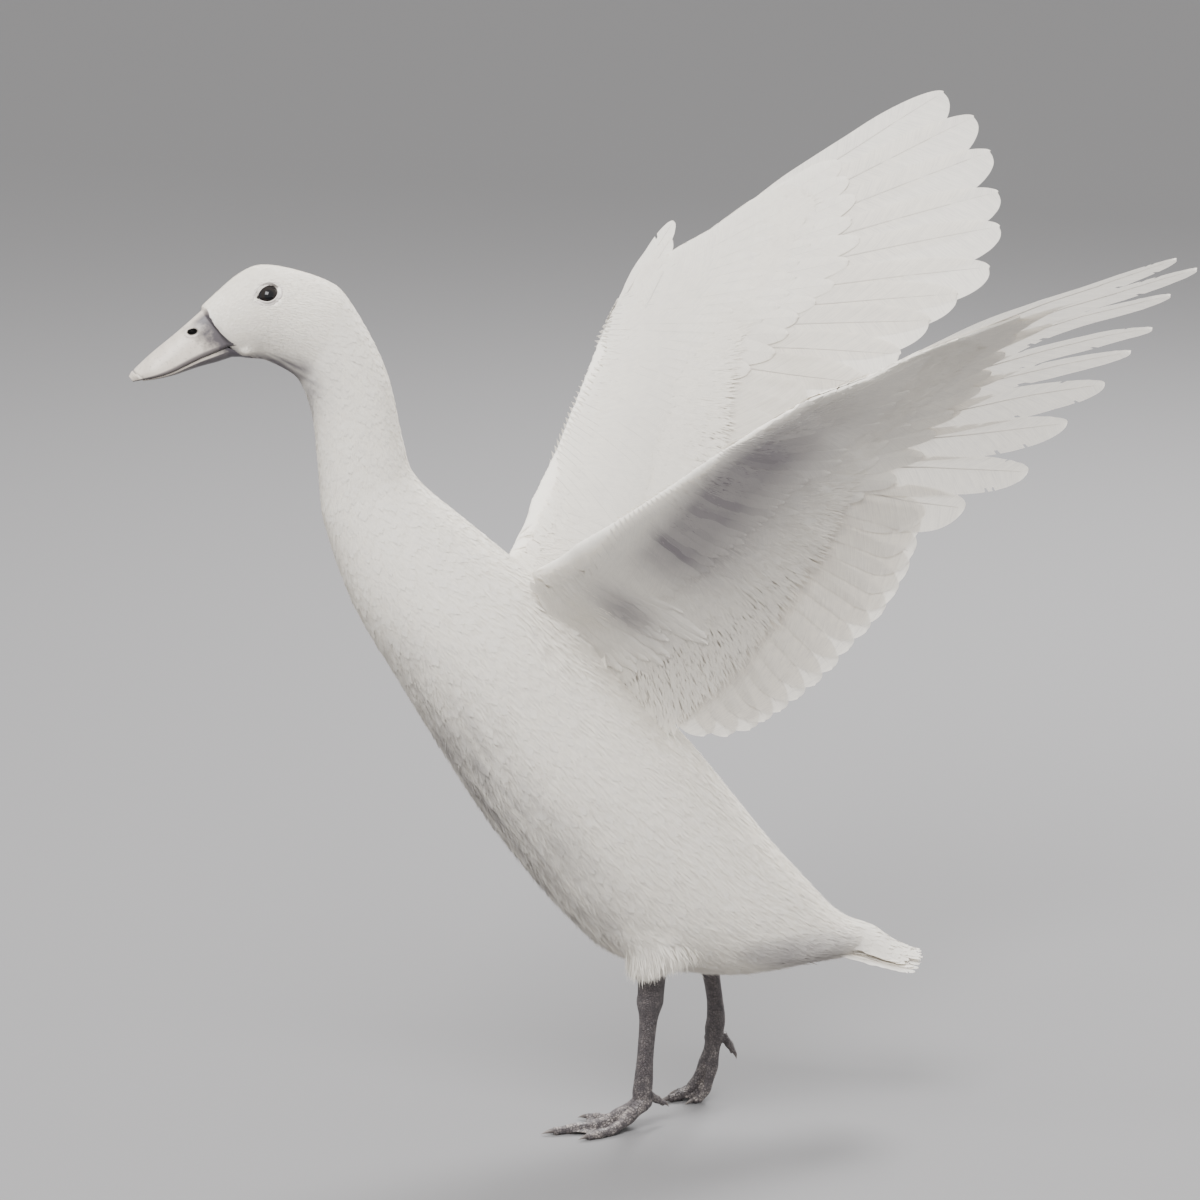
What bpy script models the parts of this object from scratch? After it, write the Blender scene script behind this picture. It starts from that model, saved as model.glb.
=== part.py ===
"""White Indian runner duck, life size, as a still model: upright mid-stride, both wings raised and swept back.

Metres, +Z up, bill towards -X, the duck's left side towards -Y, soles of the feet on Z = 0.
"""

from math import cos, pi, radians, sin

import bmesh
import bpy
from mathutils import Matrix, Vector

MM = 0.001
GAP = 0.35  # clearance between neighbouring nodes, mm

# Body stations from the base of the bill to the rump, mm:
# throat side x, z; back side x, z; half width; share by which the widest line lies towards the back
BODY = (
    (-228, 509, -250, 541, 11.5, 0.00),  # feather line round the bill
    (-218, 507, -224, 562, 19.0, 0.05),  # in front of the eye
    (-211, 506, -205, 566, 21.5, 0.05),  # eye
    (-195, 497, -171, 556, 23.5, 0.05),  # back of the head
    (-188, 488, -156, 542, 23.0, 0.00),  # nape
    (-182, 466, -134, 500, 22.5, 0.00),  # top of the neck
    (-179, 424, -123, 453, 24.0, 0.00),  # middle of the neck
    (-176, 399, -114, 430, 27.0, 0.00),  # bottom of the neck
    (-158, 347, -80, 400, 39.0, -0.05),  # crop
    (-128, 294, -30, 357, 52.0, -0.08),  # breast and shoulders
    (-83, 219, 31, 286, 58.0, -0.05),  # chest
    (-52, 175, 61, 253, 58.0, 0.00),  # middle of the back
    (-25, 142, 88, 219, 56.0, 0.00),  # belly
    (0, 119, 112, 188, 53.0, 0.00),  # loins
    (33, 106, 134, 163, 48.0, 0.00),  # between the legs
    (79, 99, 158, 137, 40.0, 0.00),  # vent
    (119, 103, 179, 124, 30.0, 0.00),  # root of the tail
    (152, 104, 188, 116, 21.0, 0.00),  # end of the tail's flesh
)
HEAD_END = 4.35  # stations where the nodes of the body part
NECK_END = 8.0
TORSO_END = 15.2
TAIL_FLESH_END = 17.0
BODY_SIDES = 28

# Bill, from the feather line to the tip, mm: ridge x, z; cutting edge x, z; half width
BILL = (
    (-250.0, 540.3, -234.0, 517.0, 9.4),
    (-259.0, 532.8, -243.0, 513.5, 9.6),
    (-268.0, 525.2, -251.5, 510.4, 10.0),
    (-275.0, 519.3, -260.0, 506.7, 10.8),
    (-281.5, 513.4, -268.0, 503.2, 11.4),
    (-287.0, 507.6, -277.0, 500.4, 11.2),
    (-291.0, 502.8, -285.5, 498.4, 8.6),
    (-293.6, 499.0, -291.8, 496.6, 3.6),
)
LOWER_BILL_DEPTH = (8.2, 7.2, 6.0, 4.6, 3.4, 2.2, 1.2)
NOSTRIL = (-257.0, 526.5)
NOSTRIL_SIZE = (3.2, 1.5)

EYE = (-210.0, 13.0, 549.5)
EYE_RADII = (7.4, 6.9, 5.7)
EYE_TILT = -22.0  # degrees, front corner low
LID_RADIUS = 0.9

# Wing in its own frame: u out from the shoulder, v back from the shoulder line, mm
WING_FRONT = ((-34, -33), (20, -38), (60, -43), (110, -52), (150, -60), (190, -65), (222, -64), (261, -52),
              (290, -47), (325, -37), (362, -26), (395, -15), (446, -5))
FRONT_HEIGHT = ((-34, -10), (20, -24), (60, -33), (110, -47), (150, -58), (185, -63), (213, -60), (254, -45),
                (290, -32), (330, -17), (367, -6), (400, 0), (450, 6))
CHORD_SLOPE = ((-34, 0.06), (60, 0.10), (110, 0.15), (160, 0.24), (200, 0.38), (230, 0.52), (300, 0.72),
               (360, 0.80), (450, 0.80))
CAMBER = ((-34, 0.20), (150, 0.28), (250, 0.16), (450, 0.08))
REAR = ((-34, 96), (-16, 118), (24, 134), (70, 126), (124, 109), (171, 91), (206, 74), (229, 84), (261, 84),
        (295, 76), (329, 66), (360, 54), (386, 44), (412, 26), (446, 6))
LEFT_PRIMARY_TIPS = ((443, -10), (443, 7), (415, 18), (384, 39), (359, 50), (330, 63), (296, 73), (262, 84),
                     (226, 76), (212, 60))
RIGHT_PRIMARY_TIPS = ((438, 0), (432, 22), (413, 41), (387, 58), (363, 70), (334, 81), (307, 78), (284, 78),
                      (258, 81), (232, 80))
SECONDARY_TIPS = ((204, 66), (189, 80), (171, 91), (150, 100), (123, 109), (96, 119), (69, 126), (44, 131),
                  (23, 134))
TERTIAL_TIPS = ((6, 132), (-9, 126), (-18, 112), (-27, 97), (-33, 80))
HAND_ROOTS = ((238, -50), (160, -36))  # root of the first and of the last primary
ARM_ROOTS = ((152, -34), (50, -14))
INNER_ROOTS = ((40, -10), (-6, 2))
LEFT_ALULA_TIP = (262, -50)
RIGHT_ALULA_TIP = (252, -70)
CORE_END = 322.0  # reach of the flesh and fold along the front edge
VANE_THICK = 0.6
LEFT_PRIMARIES = (5, 6.5, 14.0)  # primaries with a narrow outer half, front and rear half width
RIGHT_PRIMARIES = (0, 9.0, 22.0)

# Feather outlines: share of the length, share of the full width
FLIGHT = ((0.0, 0.30), (0.25, 0.62), (0.60, 1.0), (0.86, 0.94), (0.96, 0.62), (1.0, 0.16))
FINGER = ((0.0, 0.30), (0.25, 0.66), (0.52, 1.0), (0.70, 0.66), (0.94, 0.44), (1.0, 0.10))
SECONDARY = ((0.0, 0.40), (0.50, 1.0), (0.84, 0.96), (0.96, 0.62), (1.0, 0.16))
COVERT = ((0.0, 0.60), (0.72, 1.0), (1.0, 0.25))
RECTRIX = ((0.0, 0.45), (0.60, 1.0), (0.92, 0.85), (1.0, 0.20))

# Wing placing: shoulder point, direction of the tip, direction of the rear edge (left wing, right wing)
LEFT_WING = ((-10, -42, 370), (0.652, -0.579, 0.490), (0.621, 0.037, -0.783))
RIGHT_WING = ((-10, 42, 370), (0.665, 0.439, 0.604), (0.667, 0.004, -0.745))

# Legs, mm
LEFT_THIGH = ((36, -27, 135, 30, 22), (35, -25, 118, 25, 18), (31, -21, 103, 15, 12),
              (29, -20, 94.5, 10.5, 9))
RIGHT_THIGH = ((72, 30, 138, 28, 20), (76, 38, 122, 20, 15), (79, 41, 110, 12.5, 10.5),
               (80, 42, 103.5, 9.5, 8.5))
LEFT_LEG = ((29, -20, 94), (28.5, -19, 86), (28, -17, 74), (27, -13, 50), (26.5, -10, 32), (26, -8, 22))
RIGHT_LEG = ((80, 42, 103), (81, 42, 96), (83, 43, 86), (86, 44, 68), (87, 44, 54), (86, 44, 46))
LEG_RADII = ((8.0, 7.0), (8.6, 7.2), (6.0, 5.2), (5.4, 4.4), (6.2, 5.2), (6.6, 6.0))
LEFT_TOES = (
    ((26, -8, 17), (10, -9, 9), (-4, -10, 3.8), (-20, -12, 3.2), (-33, -13, 2.4)),
    ((26, -10, 16), (15, -15, 8.5), (4, -21, 3.6), (-6, -25.5, 2.9), (-14, -28, 2.3)),
    ((26, -6, 16), (16, -1, 8), (8, 4, 3.4), (0, 9, 2.8), (-6, 12, 2.3)),
    ((31, -7, 20), (37, -3, 16), (42, -1, 12.5)),
)
RIGHT_TOES = (
    ((86, 44, 41), (80, 43, 24), (71, 41, 9), (62, 39, 4), (54, 37.5, 2.4)),
    ((87, 45, 40), (84, 47, 22), (77, 49, 8), (69, 50, 3.6), (63, 50.5, 2.3)),
    ((86, 43, 40), (83, 38, 22), (78, 34, 8), (73, 32, 3.4), (69, 31, 2.3)),
    ((91, 44, 42), (96, 43, 35), (98.5, 42, 30)),
)
TOE_RADII = ((5.4, 4.4, 3.7, 3.3, 2.6), (4.8, 4.0, 3.3, 3.0, 2.4), (4.6, 3.8, 3.1, 2.8, 2.3), (3.4, 2.6, 2.0))
WEB_THICK = 1.3
CLAW_LENGTH = (8.0, 6.5, 6.0, 4.5)

# Tail fan, mm
TAIL_ROOT = (146, 0, 115)
TAIL_TIP = (213, 0, 102)
TAIL_HALF_WIDTH = 33.0
TAIL_FEATHERS = 12


def clear_scene():
    for thing in list(bpy.data.objects):
        bpy.data.objects.remove(thing, do_unlink=True)


def make_collection(name):
    group = bpy.data.collections.new(name)
    bpy.context.scene.collection.children.link(group)
    return group


def make_material(name, colour, roughness):
    material = bpy.data.materials.new(name)
    material.use_nodes = True
    shader = material.node_tree.nodes["Principled BSDF"]
    shader.inputs["Base Color"].default_value = (*colour, 1.0)
    shader.inputs["Roughness"].default_value = roughness
    shader.inputs["Metallic"].default_value = 0.0
    material.diffuse_color = (*colour, 1.0)
    return material


def blend(rows, at):
    """Values of a table with rows (position, value, ...) at a position, straight between rows."""
    if at <= rows[0][0]:
        return rows[0][1]
    for (a, first), (b, second) in zip(rows, rows[1:]):
        if at <= b:
            return first + (second - first) * (at - a) / (b - a)
    return rows[-1][1]


def curve_value(rows, at):
    """A row of values at a fractional row number, along a smooth curve through the rows."""
    index = min(int(at), len(rows) - 2)
    t = at - index
    p1 = rows[index]
    p2 = rows[index + 1]
    p0 = rows[index - 1] if index > 0 else [2 * a - b for a, b in zip(p1, p2)]
    p3 = rows[index + 2] if index + 2 < len(rows) else [2 * b - a for a, b in zip(p1, p2)]
    found = []
    for a, b, c, d in zip(p0, p1, p2, p3):
        bend = 2 * a - 5 * b + 4 * c - d
        twist = 3 * b - a - 3 * c + d
        found.append(0.5 * (2 * b + (c - a) * t + bend * t * t + twist * t ** 3))
    return found


def body_ring(at, grow=0.0, sides=BODY_SIDES):
    """Closed ring of the body at a station, grown outwards by a clearance."""
    low_x, low_z, high_x, high_z, half, egg = curve_value(BODY, at)
    low = Vector((low_x, 0, low_z))
    high = Vector((high_x, 0, high_z))
    centre = (low + high) / 2
    depth = (high - low) / 2
    depth = depth * (1 + grow / depth.length)
    ring = []
    for number in range(sides):
        angle = 2 * pi * number / sides
        across = (half + grow) * sin(angle) * (1 + egg * cos(angle))
        ring.append(centre + depth * cos(angle) + Vector((0, across, 0)))
    return ring


def body_direction(at):
    """Direction square to the body's ring at a station, towards the tail."""
    low_x, low_z, high_x, high_z, _, _ = curve_value(BODY, at)
    return Vector((high_z - low_z, 0, low_x - high_x)).normalized()


def moved(ring, step):
    return [point + step for point in ring]


def spread(start, end, count):
    return [start + (end - start) * number / (count - 1) for number in range(count)]


def skin_rings(rings):
    """Points and triangles of a closed skin over rings of equal count, capped at both ends."""
    sides = len(rings[0])
    points = [point for ring in rings for point in ring]
    faces = []
    for row in range(len(rings) - 1):
        for side in range(sides):
            a = row * sides + side
            b = row * sides + (side + 1) % sides
            faces.append((a, b, b + sides))
            faces.append((a, b + sides, a + sides))
    for row, turn in ((0, True), (len(rings) - 1, False)):
        centre = sum(rings[row], Vector()) / sides
        points.append(centre)
        for side in range(sides):
            a = row * sides + side
            b = row * sides + (side + 1) % sides
            faces.append((len(points) - 1, b, a) if turn else (len(points) - 1, a, b))
    return points, faces


def make_solid(name, points, faces, material, group):
    """Object from points in millimetres, its faces turned outwards."""
    mesh = bpy.data.meshes.new(name)
    mesh.from_pydata([point * MM for point in points], [], faces)
    work = bmesh.new()
    work.from_mesh(mesh)
    bmesh.ops.recalc_face_normals(work, faces=work.faces)
    if work.calc_volume(signed=True) < 0:
        bmesh.ops.reverse_faces(work, faces=work.faces)
    work.to_mesh(mesh)
    work.free()
    thing = bpy.data.objects.new(name, mesh)
    thing.data.materials.append(material)
    group.objects.link(thing)
    return thing


def make_loft(name, rings, material, group):
    points, faces = skin_rings(rings)
    return make_solid(name, points, faces, material, group)


def make_ball(name, centre, radii, turn, material, group, segments=24, rows=14):
    """Ellipsoid of three radii, turned about the Y axis."""
    work = bmesh.new()
    shape = Matrix.LocRotScale(Vector(centre) * MM, Matrix.Rotation(radians(turn), 3, "Y"), Vector(radii) * MM)
    bmesh.ops.create_uvsphere(work, u_segments=segments, v_segments=rows, radius=1.0, matrix=shape)
    mesh = bpy.data.meshes.new(name)
    work.to_mesh(mesh)
    work.free()
    thing = bpy.data.objects.new(name, mesh)
    thing.data.materials.append(material)
    group.objects.link(thing)
    return thing


def largest_piece(mesh):
    """Keeps only the largest closed surface of a mesh."""
    work = bmesh.new()
    work.from_mesh(mesh)
    left = set(work.verts)
    pieces = []
    while left:
        seed = left.pop()
        piece = {seed}
        edge = [seed]
        while edge:
            vert = edge.pop()
            for link in vert.link_edges:
                other = link.other_vert(vert)
                if other not in piece:
                    piece.add(other)
                    edge.append(other)
        left -= piece
        pieces.append(piece)
    pieces.sort(key=len, reverse=True)
    for piece in pieces[1:]:
        bmesh.ops.delete(work, geom=list(piece), context="VERTS")
    work.to_mesh(mesh)
    work.free()


def combine(thing, others, operation, solver="MANIFOLD"):
    """Applies one Boolean of a group of solids to an object and removes the group."""
    helpers = bpy.data.collections.new("helpers")
    bpy.context.scene.collection.children.link(helpers)
    for other in others:
        for holder in list(other.users_collection):
            holder.objects.unlink(other)
        helpers.objects.link(other)
    step = thing.modifiers.new("combine", "BOOLEAN")
    step.operation = operation
    step.operand_type = "COLLECTION"
    step.collection = helpers
    step.solver = solver
    graph = bpy.context.evaluated_depsgraph_get()
    result = bpy.data.meshes.new_from_object(thing.evaluated_get(graph))
    thing.modifiers.remove(step)
    thing.data = result
    for other in others:
        bpy.data.objects.remove(other, do_unlink=True)
    bpy.data.collections.remove(helpers)
    largest_piece(thing.data)


def smooth_faces(thing):
    for face in thing.data.polygons:
        face.use_smooth = True


def grown_body(group, material, start, end):
    """Body shape with the clearance added, as a cutter for what sits on it."""
    rings = [body_ring(at, GAP) for at in spread(start, end, 24)]
    return make_loft("cutter", rings, material, group)


def make_head(group, feathers):
    """Head with eye sockets and raised lids."""
    rings = [body_ring(at) for at in spread(0.0, HEAD_END, 14)]
    head = make_loft("head", rings, feathers, group)
    lids = []
    sockets = []
    for side in (-1, 1):
        place = (EYE[0], side * EYE[1], EYE[2])
        sockets.append(make_ball("socket", place, [r + GAP for r in EYE_RADII], EYE_TILT, feathers, group,
                                 14, 8))
        lids.append(make_lid(place, side, group, feathers))
    combine(head, lids, "UNION")
    combine(head, sockets, "DIFFERENCE")
    return head


def make_lid(eye, side, group, material):
    """Almond ring of the two lids round an eye."""
    rings = []
    tilt = radians(EYE_TILT)
    count = 14
    for number in range(count):
        angle = 2 * pi * number / count
        out = EYE_RADII[0] * 0.88 * cos(angle)
        up = EYE_RADII[2] * 0.86 * sin(angle)
        ahead = out * cos(tilt) + up * sin(tilt)
        rise = up * cos(tilt) - out * sin(tilt)
        centre = Vector((eye[0] + ahead, side * 17.6, eye[2] + rise))
        centre.y -= side * abs(up) * 0.12
        radial = Vector((centre.x - eye[0], 0, centre.z - eye[2])).normalized()
        ring = []
        for corner in range(6):
            turn = 2 * pi * corner / 6
            ring.append(centre + radial * LID_RADIUS * cos(turn) + Vector((0, side * 1.1 * sin(turn), 0)))
        rings.append(ring)
    points = [point for ring in rings for point in ring]
    faces = []
    for row in range(count):
        for corner in range(6):
            a = row * 6 + corner
            b = row * 6 + (corner + 1) % 6
            c = (row + 1) % count * 6 + (corner + 1) % 6
            d = (row + 1) % count * 6 + corner
            faces.append((a, b, c))
            faces.append((a, c, d))
    return make_solid("lid", points, faces, material, group)


def bill_frame(at):
    ridge_x, ridge_z, edge_x, edge_z, half = curve_value(BILL, at)
    return Vector((ridge_x, 0, ridge_z)), Vector((edge_x, 0, edge_z)), half


def make_bill(group, horn):
    """Upper bill with nostrils, and lower bill lying under its cutting edge."""
    clear = (Vector((-33, 0, -23)) * (1 / 40.2)) * GAP
    upper = []
    last = len(BILL) - 1
    for at in spread(0.0, last, 12):
        ridge, edge, half = bill_frame(at)
        flat = 0.78 - 0.14 * at / last
        ring = []
        for number in range(12):
            angle = pi * number / 12
            share = sin(angle) ** flat
            ring.append(edge + (ridge - edge) * share + Vector((0, -half * cos(angle), 0)))
        for number in (1, 2, 3):
            across = half * (1 - 2 * number / 4)
            ring.append(edge + (ridge - edge) * 0.06 + Vector((0, across, 0)))
        upper.append(moved(ring, clear))
    bill = make_loft("bill_upper", upper, horn, group)
    cutters = []
    for side in (-1, 1):
        place = (NOSTRIL[0], side * 6.6, NOSTRIL[1])
        radii = (NOSTRIL_SIZE[0], 2.6, NOSTRIL_SIZE[1])
        cutters.append(make_ball("nostril", place, radii, -38.0, horn, group, 10, 6))
    combine(bill, cutters, "DIFFERENCE")
    lower = []
    for row, depth in zip(spread(0.0, last - 0.9, len(LOWER_BILL_DEPTH)), LOWER_BILL_DEPTH):
        ridge, edge, half = bill_frame(row)
        down = Vector((0.42, 0, -0.91))
        start = edge + down * GAP
        ring = []
        for number in range(11):
            angle = pi * number / 10
            ring.append(start + down * depth * sin(angle) ** 0.8 + Vector((0, (half - 0.9) * cos(angle), 0)))
        for number in (1, 2, 3):
            across = (half - 0.9) * (2 * number / 4 - 1)
            ring.append(start + Vector((0, across, 0)))
        lower.append(moved(ring, clear * 1.3))
    make_loft("bill_lower", lower, horn, group)


def make_eyes(group, glassy):
    for side, word in ((-1, "left"), (1, "right")):
        make_ball("eye_" + word, (EYE[0], side * EYE[1], EYE[2]), EYE_RADII, EYE_TILT, glassy, group, 14, 9)


def make_trunk(group, feathers):
    """Neck and torso, each starting a clearance after the node before it."""
    for name, start, end, count in (("neck", HEAD_END, NECK_END, 12), ("torso", NECK_END, TORSO_END, 16)):
        rings = [body_ring(at) for at in spread(start, end, count)]
        rings[0] = moved(rings[0], body_direction(start) * GAP)
        make_loft(name, rings, feathers, group)


def tail_point(along, across, lift=0.0):
    """Point of the tail fan: along from the rump, across to the right; its edges lie lower."""
    base = Vector(TAIL_ROOT)
    step = (Vector(TAIL_TIP) - base).normalized()
    up = Vector((-step.z, 0, step.x))
    drop = -0.004 * across * across
    return base + step * along + Vector((0, across, 0)) + up * (drop + lift)


def make_tail(group, feathers):
    """Tail with its fan of feathers and the coverts over and under them."""
    rings = [body_ring(at, sides=20) for at in spread(TORSO_END, TAIL_FLESH_END, 6)]
    rings[0] = moved(rings[0], body_direction(TORSO_END) * GAP)
    flesh = make_loft("tail", rings, feathers, group)
    length = (Vector(TAIL_TIP) - Vector(TAIL_ROOT)).length
    vanes = []
    for side in (-1, 1):
        for number in range(TAIL_FEATHERS // 2):
            share = (number + 0.5) / (TAIL_FEATHERS // 2)
            root = (4.0 - 8 * share, side * 13 * share)
            tip = (length * (1 - 0.20 * share * share), side * TAIL_HALF_WIDTH * share)
            widths = vane_widths(RECTRIX, 7.0, 7.0)
            lift = 1.7 - 2.8 * number / (TAIL_FEATHERS // 2)
            vanes.append(make_vane(tail_point, root, tip, widths, 0.3, 0.0, lift, 0.9, group, feathers))
    for lift, reach in ((5.0, 0.60), (-5.5, 0.66)):
        for number in range(5):
            share = (number - 2) / 2
            root = (-6, share * 12)
            tip = (length * reach * (1 - 0.15 * share * share), share * 19)
            vanes.append(make_vane(tail_point, root, tip, vane_widths(COVERT, 7.0, 7.0), 0.0, 0.0,
                                   lift - 0.7 * abs(share), 0.7, group, feathers))
    combine(flesh, vanes, "UNION")


class Wing:
    """Surface of one spread wing in world millimetres."""

    def __init__(self, placing):
        self.root = Vector(placing[0])
        self.out = Vector(placing[1]).normalized()
        back = Vector(placing[2])
        self.back = (back - self.out * back.dot(self.out)).normalized()
        side = 1 if placing[0][1] < 0 else -1
        self.top = self.out.cross(self.back) * side

    def front(self, u):
        return blend(WING_FRONT, u)

    def chord(self, u):
        return blend(REAR, u) - self.front(u)

    def point(self, u, v, lift=0.0):
        behind = v - self.front(u)
        share = min(max(behind / max(self.chord(u), 20.0), 0.0), 1.2)
        height = blend(FRONT_HEIGHT, u) + blend(CHORD_SLOPE, u) * behind
        height += blend(CAMBER, u) * behind * (1 - share)
        return self.root + self.out * u + self.back * v + self.top * (height + lift)


def make_vane(surface, root, tip, widths, rachis, bow, lift, roll, group, material):
    """Feather lying on a surface: thin, rolled like a shingle, with a raised shaft if rachis isn't 0.

    widths has rows (share of the length, towards the front, towards the rear).
    """
    root = Vector(root)
    tip = Vector(tip)
    step = tip - root
    aside = Vector((step.y, -step.x)).normalized()
    half = VANE_THICK / 2
    points = []
    sides = 6 if rachis else 4
    for share, before, after in widths:
        centre = root + step * share + aside * bow * 4 * share * (1 - share)
        front = centre + aside * before
        rear = centre - aside * after
        raised = lift + roll
        lowered = lift - roll
        if rachis:
            points += [surface(front.x, front.y, raised + half), surface(centre.x, centre.y, lift + half + rachis),
                       surface(rear.x, rear.y, lowered + half), surface(rear.x, rear.y, lowered - half),
                       surface(centre.x, centre.y, lift - half), surface(front.x, front.y, raised - half)]
        else:
            points += [surface(front.x, front.y, raised + half), surface(rear.x, rear.y, lowered + half),
                       surface(rear.x, rear.y, lowered - half), surface(front.x, front.y, raised - half)]
    top = list(range(sides // 2))
    bottom = [sides - 1 - number for number in top]
    faces = []
    for row in range(len(widths) - 1):
        a = row * sides
        b = a + sides
        for one, two in zip(top, top[1:]):
            faces += [(a + one, a + two, b + two), (a + one, b + two, b + one)]
        for one, two in zip(bottom, bottom[1:]):
            faces += [(a + one, b + two, a + two), (a + one, b + one, b + two)]
        for one, two in ((top[-1], bottom[-1]), (bottom[0], top[0])):
            faces += [(a + one, a + two, b + two), (a + one, b + two, b + one)]
    for start, turn in ((0, True), ((len(widths) - 1) * sides, False)):
        for one, two, three, four in zip(top, top[1:], bottom[1:], bottom):
            for face in ((one, two, three), (one, three, four)):
                face = [start + corner for corner in face]
                faces.append(tuple(reversed(face)) if turn else tuple(face))
    return make_solid("vane", points, faces, material, group)


def vane_widths(rows, front, rear):
    return [(share, front * size, rear * size) for share, size in rows]


def make_wing_core(name, wing, group, feathers):
    """Flesh, leading fold and small coverts of the wing."""
    rings = []
    for u in spread(-34, CORE_END, 17):
        front = wing.front(u)
        depth = blend(((-34, 82), (40, 74), (150, 56), (235, 30), (CORE_END, 9)), u)
        thick = blend(((-34, 7.5), (60, 6.5), (160, 5.0), (235, 3.2), (CORE_END, 1.1)), u)
        rear_half = min(2.3, thick * 0.6)
        ring = []
        upper = []
        lower = []
        for share in (0.0, 0.05, 0.16, 0.34, 0.58, 0.82, 1.0):
            size = thick * 2.4 * share ** 0.5 * (1 - share) * (1.15 - 0.3 * share) + rear_half * share
            upper.append(wing.point(u, front + depth * share, size))
            lower.append(wing.point(u, front + depth * share, -size))
        ring = upper + lower[:0:-1]
        rings.append(ring)
    return make_loft(name, rings, feathers, group)


def between(pair, share):
    return tuple(a + (b - a) * share for a, b in zip(*pair))


def make_wing(name, placing, tips, primaries, alula, group, feathers):
    """Wing with its primaries, secondaries, tertials, coverts on both sides, and alula."""
    wing = Wing(placing)
    solid = make_wing_core(name, wing, group, feathers)
    vanes = []
    flight = []
    fingers, before, after = primaries
    for number, tip in enumerate(tips):
        root = between(HAND_ROOTS, number / 9)
        rows = FINGER if number < fingers else FLIGHT
        widths = vane_widths(rows, before + 0.4 * number, after + 0.3 * number)
        flight.append((root, tip, widths, 1.5))
    for number, tip in enumerate(SECONDARY_TIPS):
        flight.append((between(ARM_ROOTS, number / 8), tip, vane_widths(SECONDARY, 12.0, 16.5), 0.0))
    for number, tip in enumerate(TERTIAL_TIPS):
        flight.append((between(INNER_ROOTS, number / 4), tip, vane_widths(COVERT, 12.0, 14.0), 0.0))
    for root, tip, widths, bow in flight:
        vanes.append(make_vane(wing.point, root, tip, widths, 0.35, bow, 0.0, 1.5, group, feathers))
    for lift, reach, width, roots in ((3.6, 0.52, 15.0, 0.10), (-3.6, 0.50, 15.0, 0.10)):
        for number in range(12):
            place = number / 11 * (len(flight) - 3) + 0.5
            low = int(place)
            root = Vector(flight[low][0]).lerp(Vector(flight[low + 1][0]), place - low)
            tip = Vector(flight[low][1]).lerp(Vector(flight[low + 1][1]), place - low)
            start = root.lerp(tip, roots - 0.12)
            end = root.lerp(tip, reach if number > 5 else reach - 0.02 * (6 - number))
            widths = vane_widths(COVERT, width * 0.44, width * 0.56)
            vanes.append(make_vane(wing.point, start, end, widths, 0.0, 0.0, lift, 0.9, group, feathers))
    for number in range(7):
        place = number / 6 * 12 + 9.0
        low = min(int(place), len(flight) - 2)
        root = Vector(flight[low][0]).lerp(Vector(flight[low + 1][0]), place - low)
        tip = Vector(flight[low][1]).lerp(Vector(flight[low + 1][1]), place - low)
        widths = vane_widths(COVERT, 9.0, 11.0)
        vanes.append(make_vane(wing.point, root.lerp(tip, -0.08), root.lerp(tip, 0.33), widths, 0.0, 0.0, 6.4, 0.8,
                               group, feathers))
    for number in range(3):
        start = (172 + 4 * number, -60 + 4 * number)
        end = (alula[0] - 12 * number, alula[1] + 5 * number)
        widths = vane_widths(COVERT, 4.5, 5.5)
        vanes.append(make_vane(wing.point, start, end, widths, 0.0, 0.0, 2.6 + 1.2 * number, 0.5, group, feathers))
    combine(solid, vanes, "UNION")
    combine(solid, [grown_body(group, feathers, 7.0, 15.9)], "DIFFERENCE")


def limb_ring(centre, along, front, side, sides=10):
    """Ring across a limb: one radius front to back, one to the sides."""
    along = along.normalized()
    across = along.cross(Vector((1, 0, 0))).normalized()
    ahead = across.cross(along).normalized()
    ring = []
    for number in range(sides):
        angle = 2 * pi * number / sides
        ring.append(centre + ahead * front * cos(angle) + across * side * sin(angle))
    return ring


def make_thigh(name, rows, group, feathers):
    """Feathered thigh coming out of the belly."""
    rings = []
    for at in spread(0, len(rows) - 1, 6):
        x, y, z, front, side = curve_value(rows, at)
        ring = []
        for number in range(16):
            angle = 2 * pi * number / 16
            ring.append(Vector((x + front * cos(angle), y + side * sin(angle), z)))
        rings.append(ring)
    thigh = make_loft(name, rings, feathers, group)
    combine(thigh, [grown_body(group, feathers, 11.0, 16.9)], "DIFFERENCE")


def make_leg(name, rows, group, scaly):
    """Bare leg from the ankle joint down to the root of the toes."""
    rings = []
    last = len(rows) - 1
    for at in spread(0, last, 11):
        centre = Vector(curve_value(rows, at))
        ahead = Vector(curve_value(rows, min(at + 0.1, last)))
        behind = Vector(curve_value(rows, max(at - 0.1, 0)))
        along = Vector((0, 0, -1)) if at in (0, last) else ahead - behind
        front, side = curve_value(LEG_RADII, at)
        rings.append(limb_ring(centre, along, front, side))
    make_loft(name, rings, scaly, group)


def toe_rings(points, radii, sides=6):
    rings = []
    last = len(points) - 1
    for at in spread(0, last, 2 * last + 1):
        centre = Vector(curve_value(points, at))
        step = Vector(curve_value(points, min(at + 0.1, last))) - Vector(curve_value(points, max(at - 0.1, 0)))
        step.normalize()
        across = step.cross(Vector((0, 0, 1))).normalized()
        up = across.cross(step).normalized()
        radius = curve_value([(value, 0) for value in radii], at)[0]
        radius *= 1.0 + 0.08 * cos(2 * pi * at)
        ring = []
        for number in range(sides):
            angle = 2 * pi * number / sides
            ring.append(centre + across * radius * cos(angle) + up * radius * 0.92 * sin(angle))
        rings.append(ring)
    return rings


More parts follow.
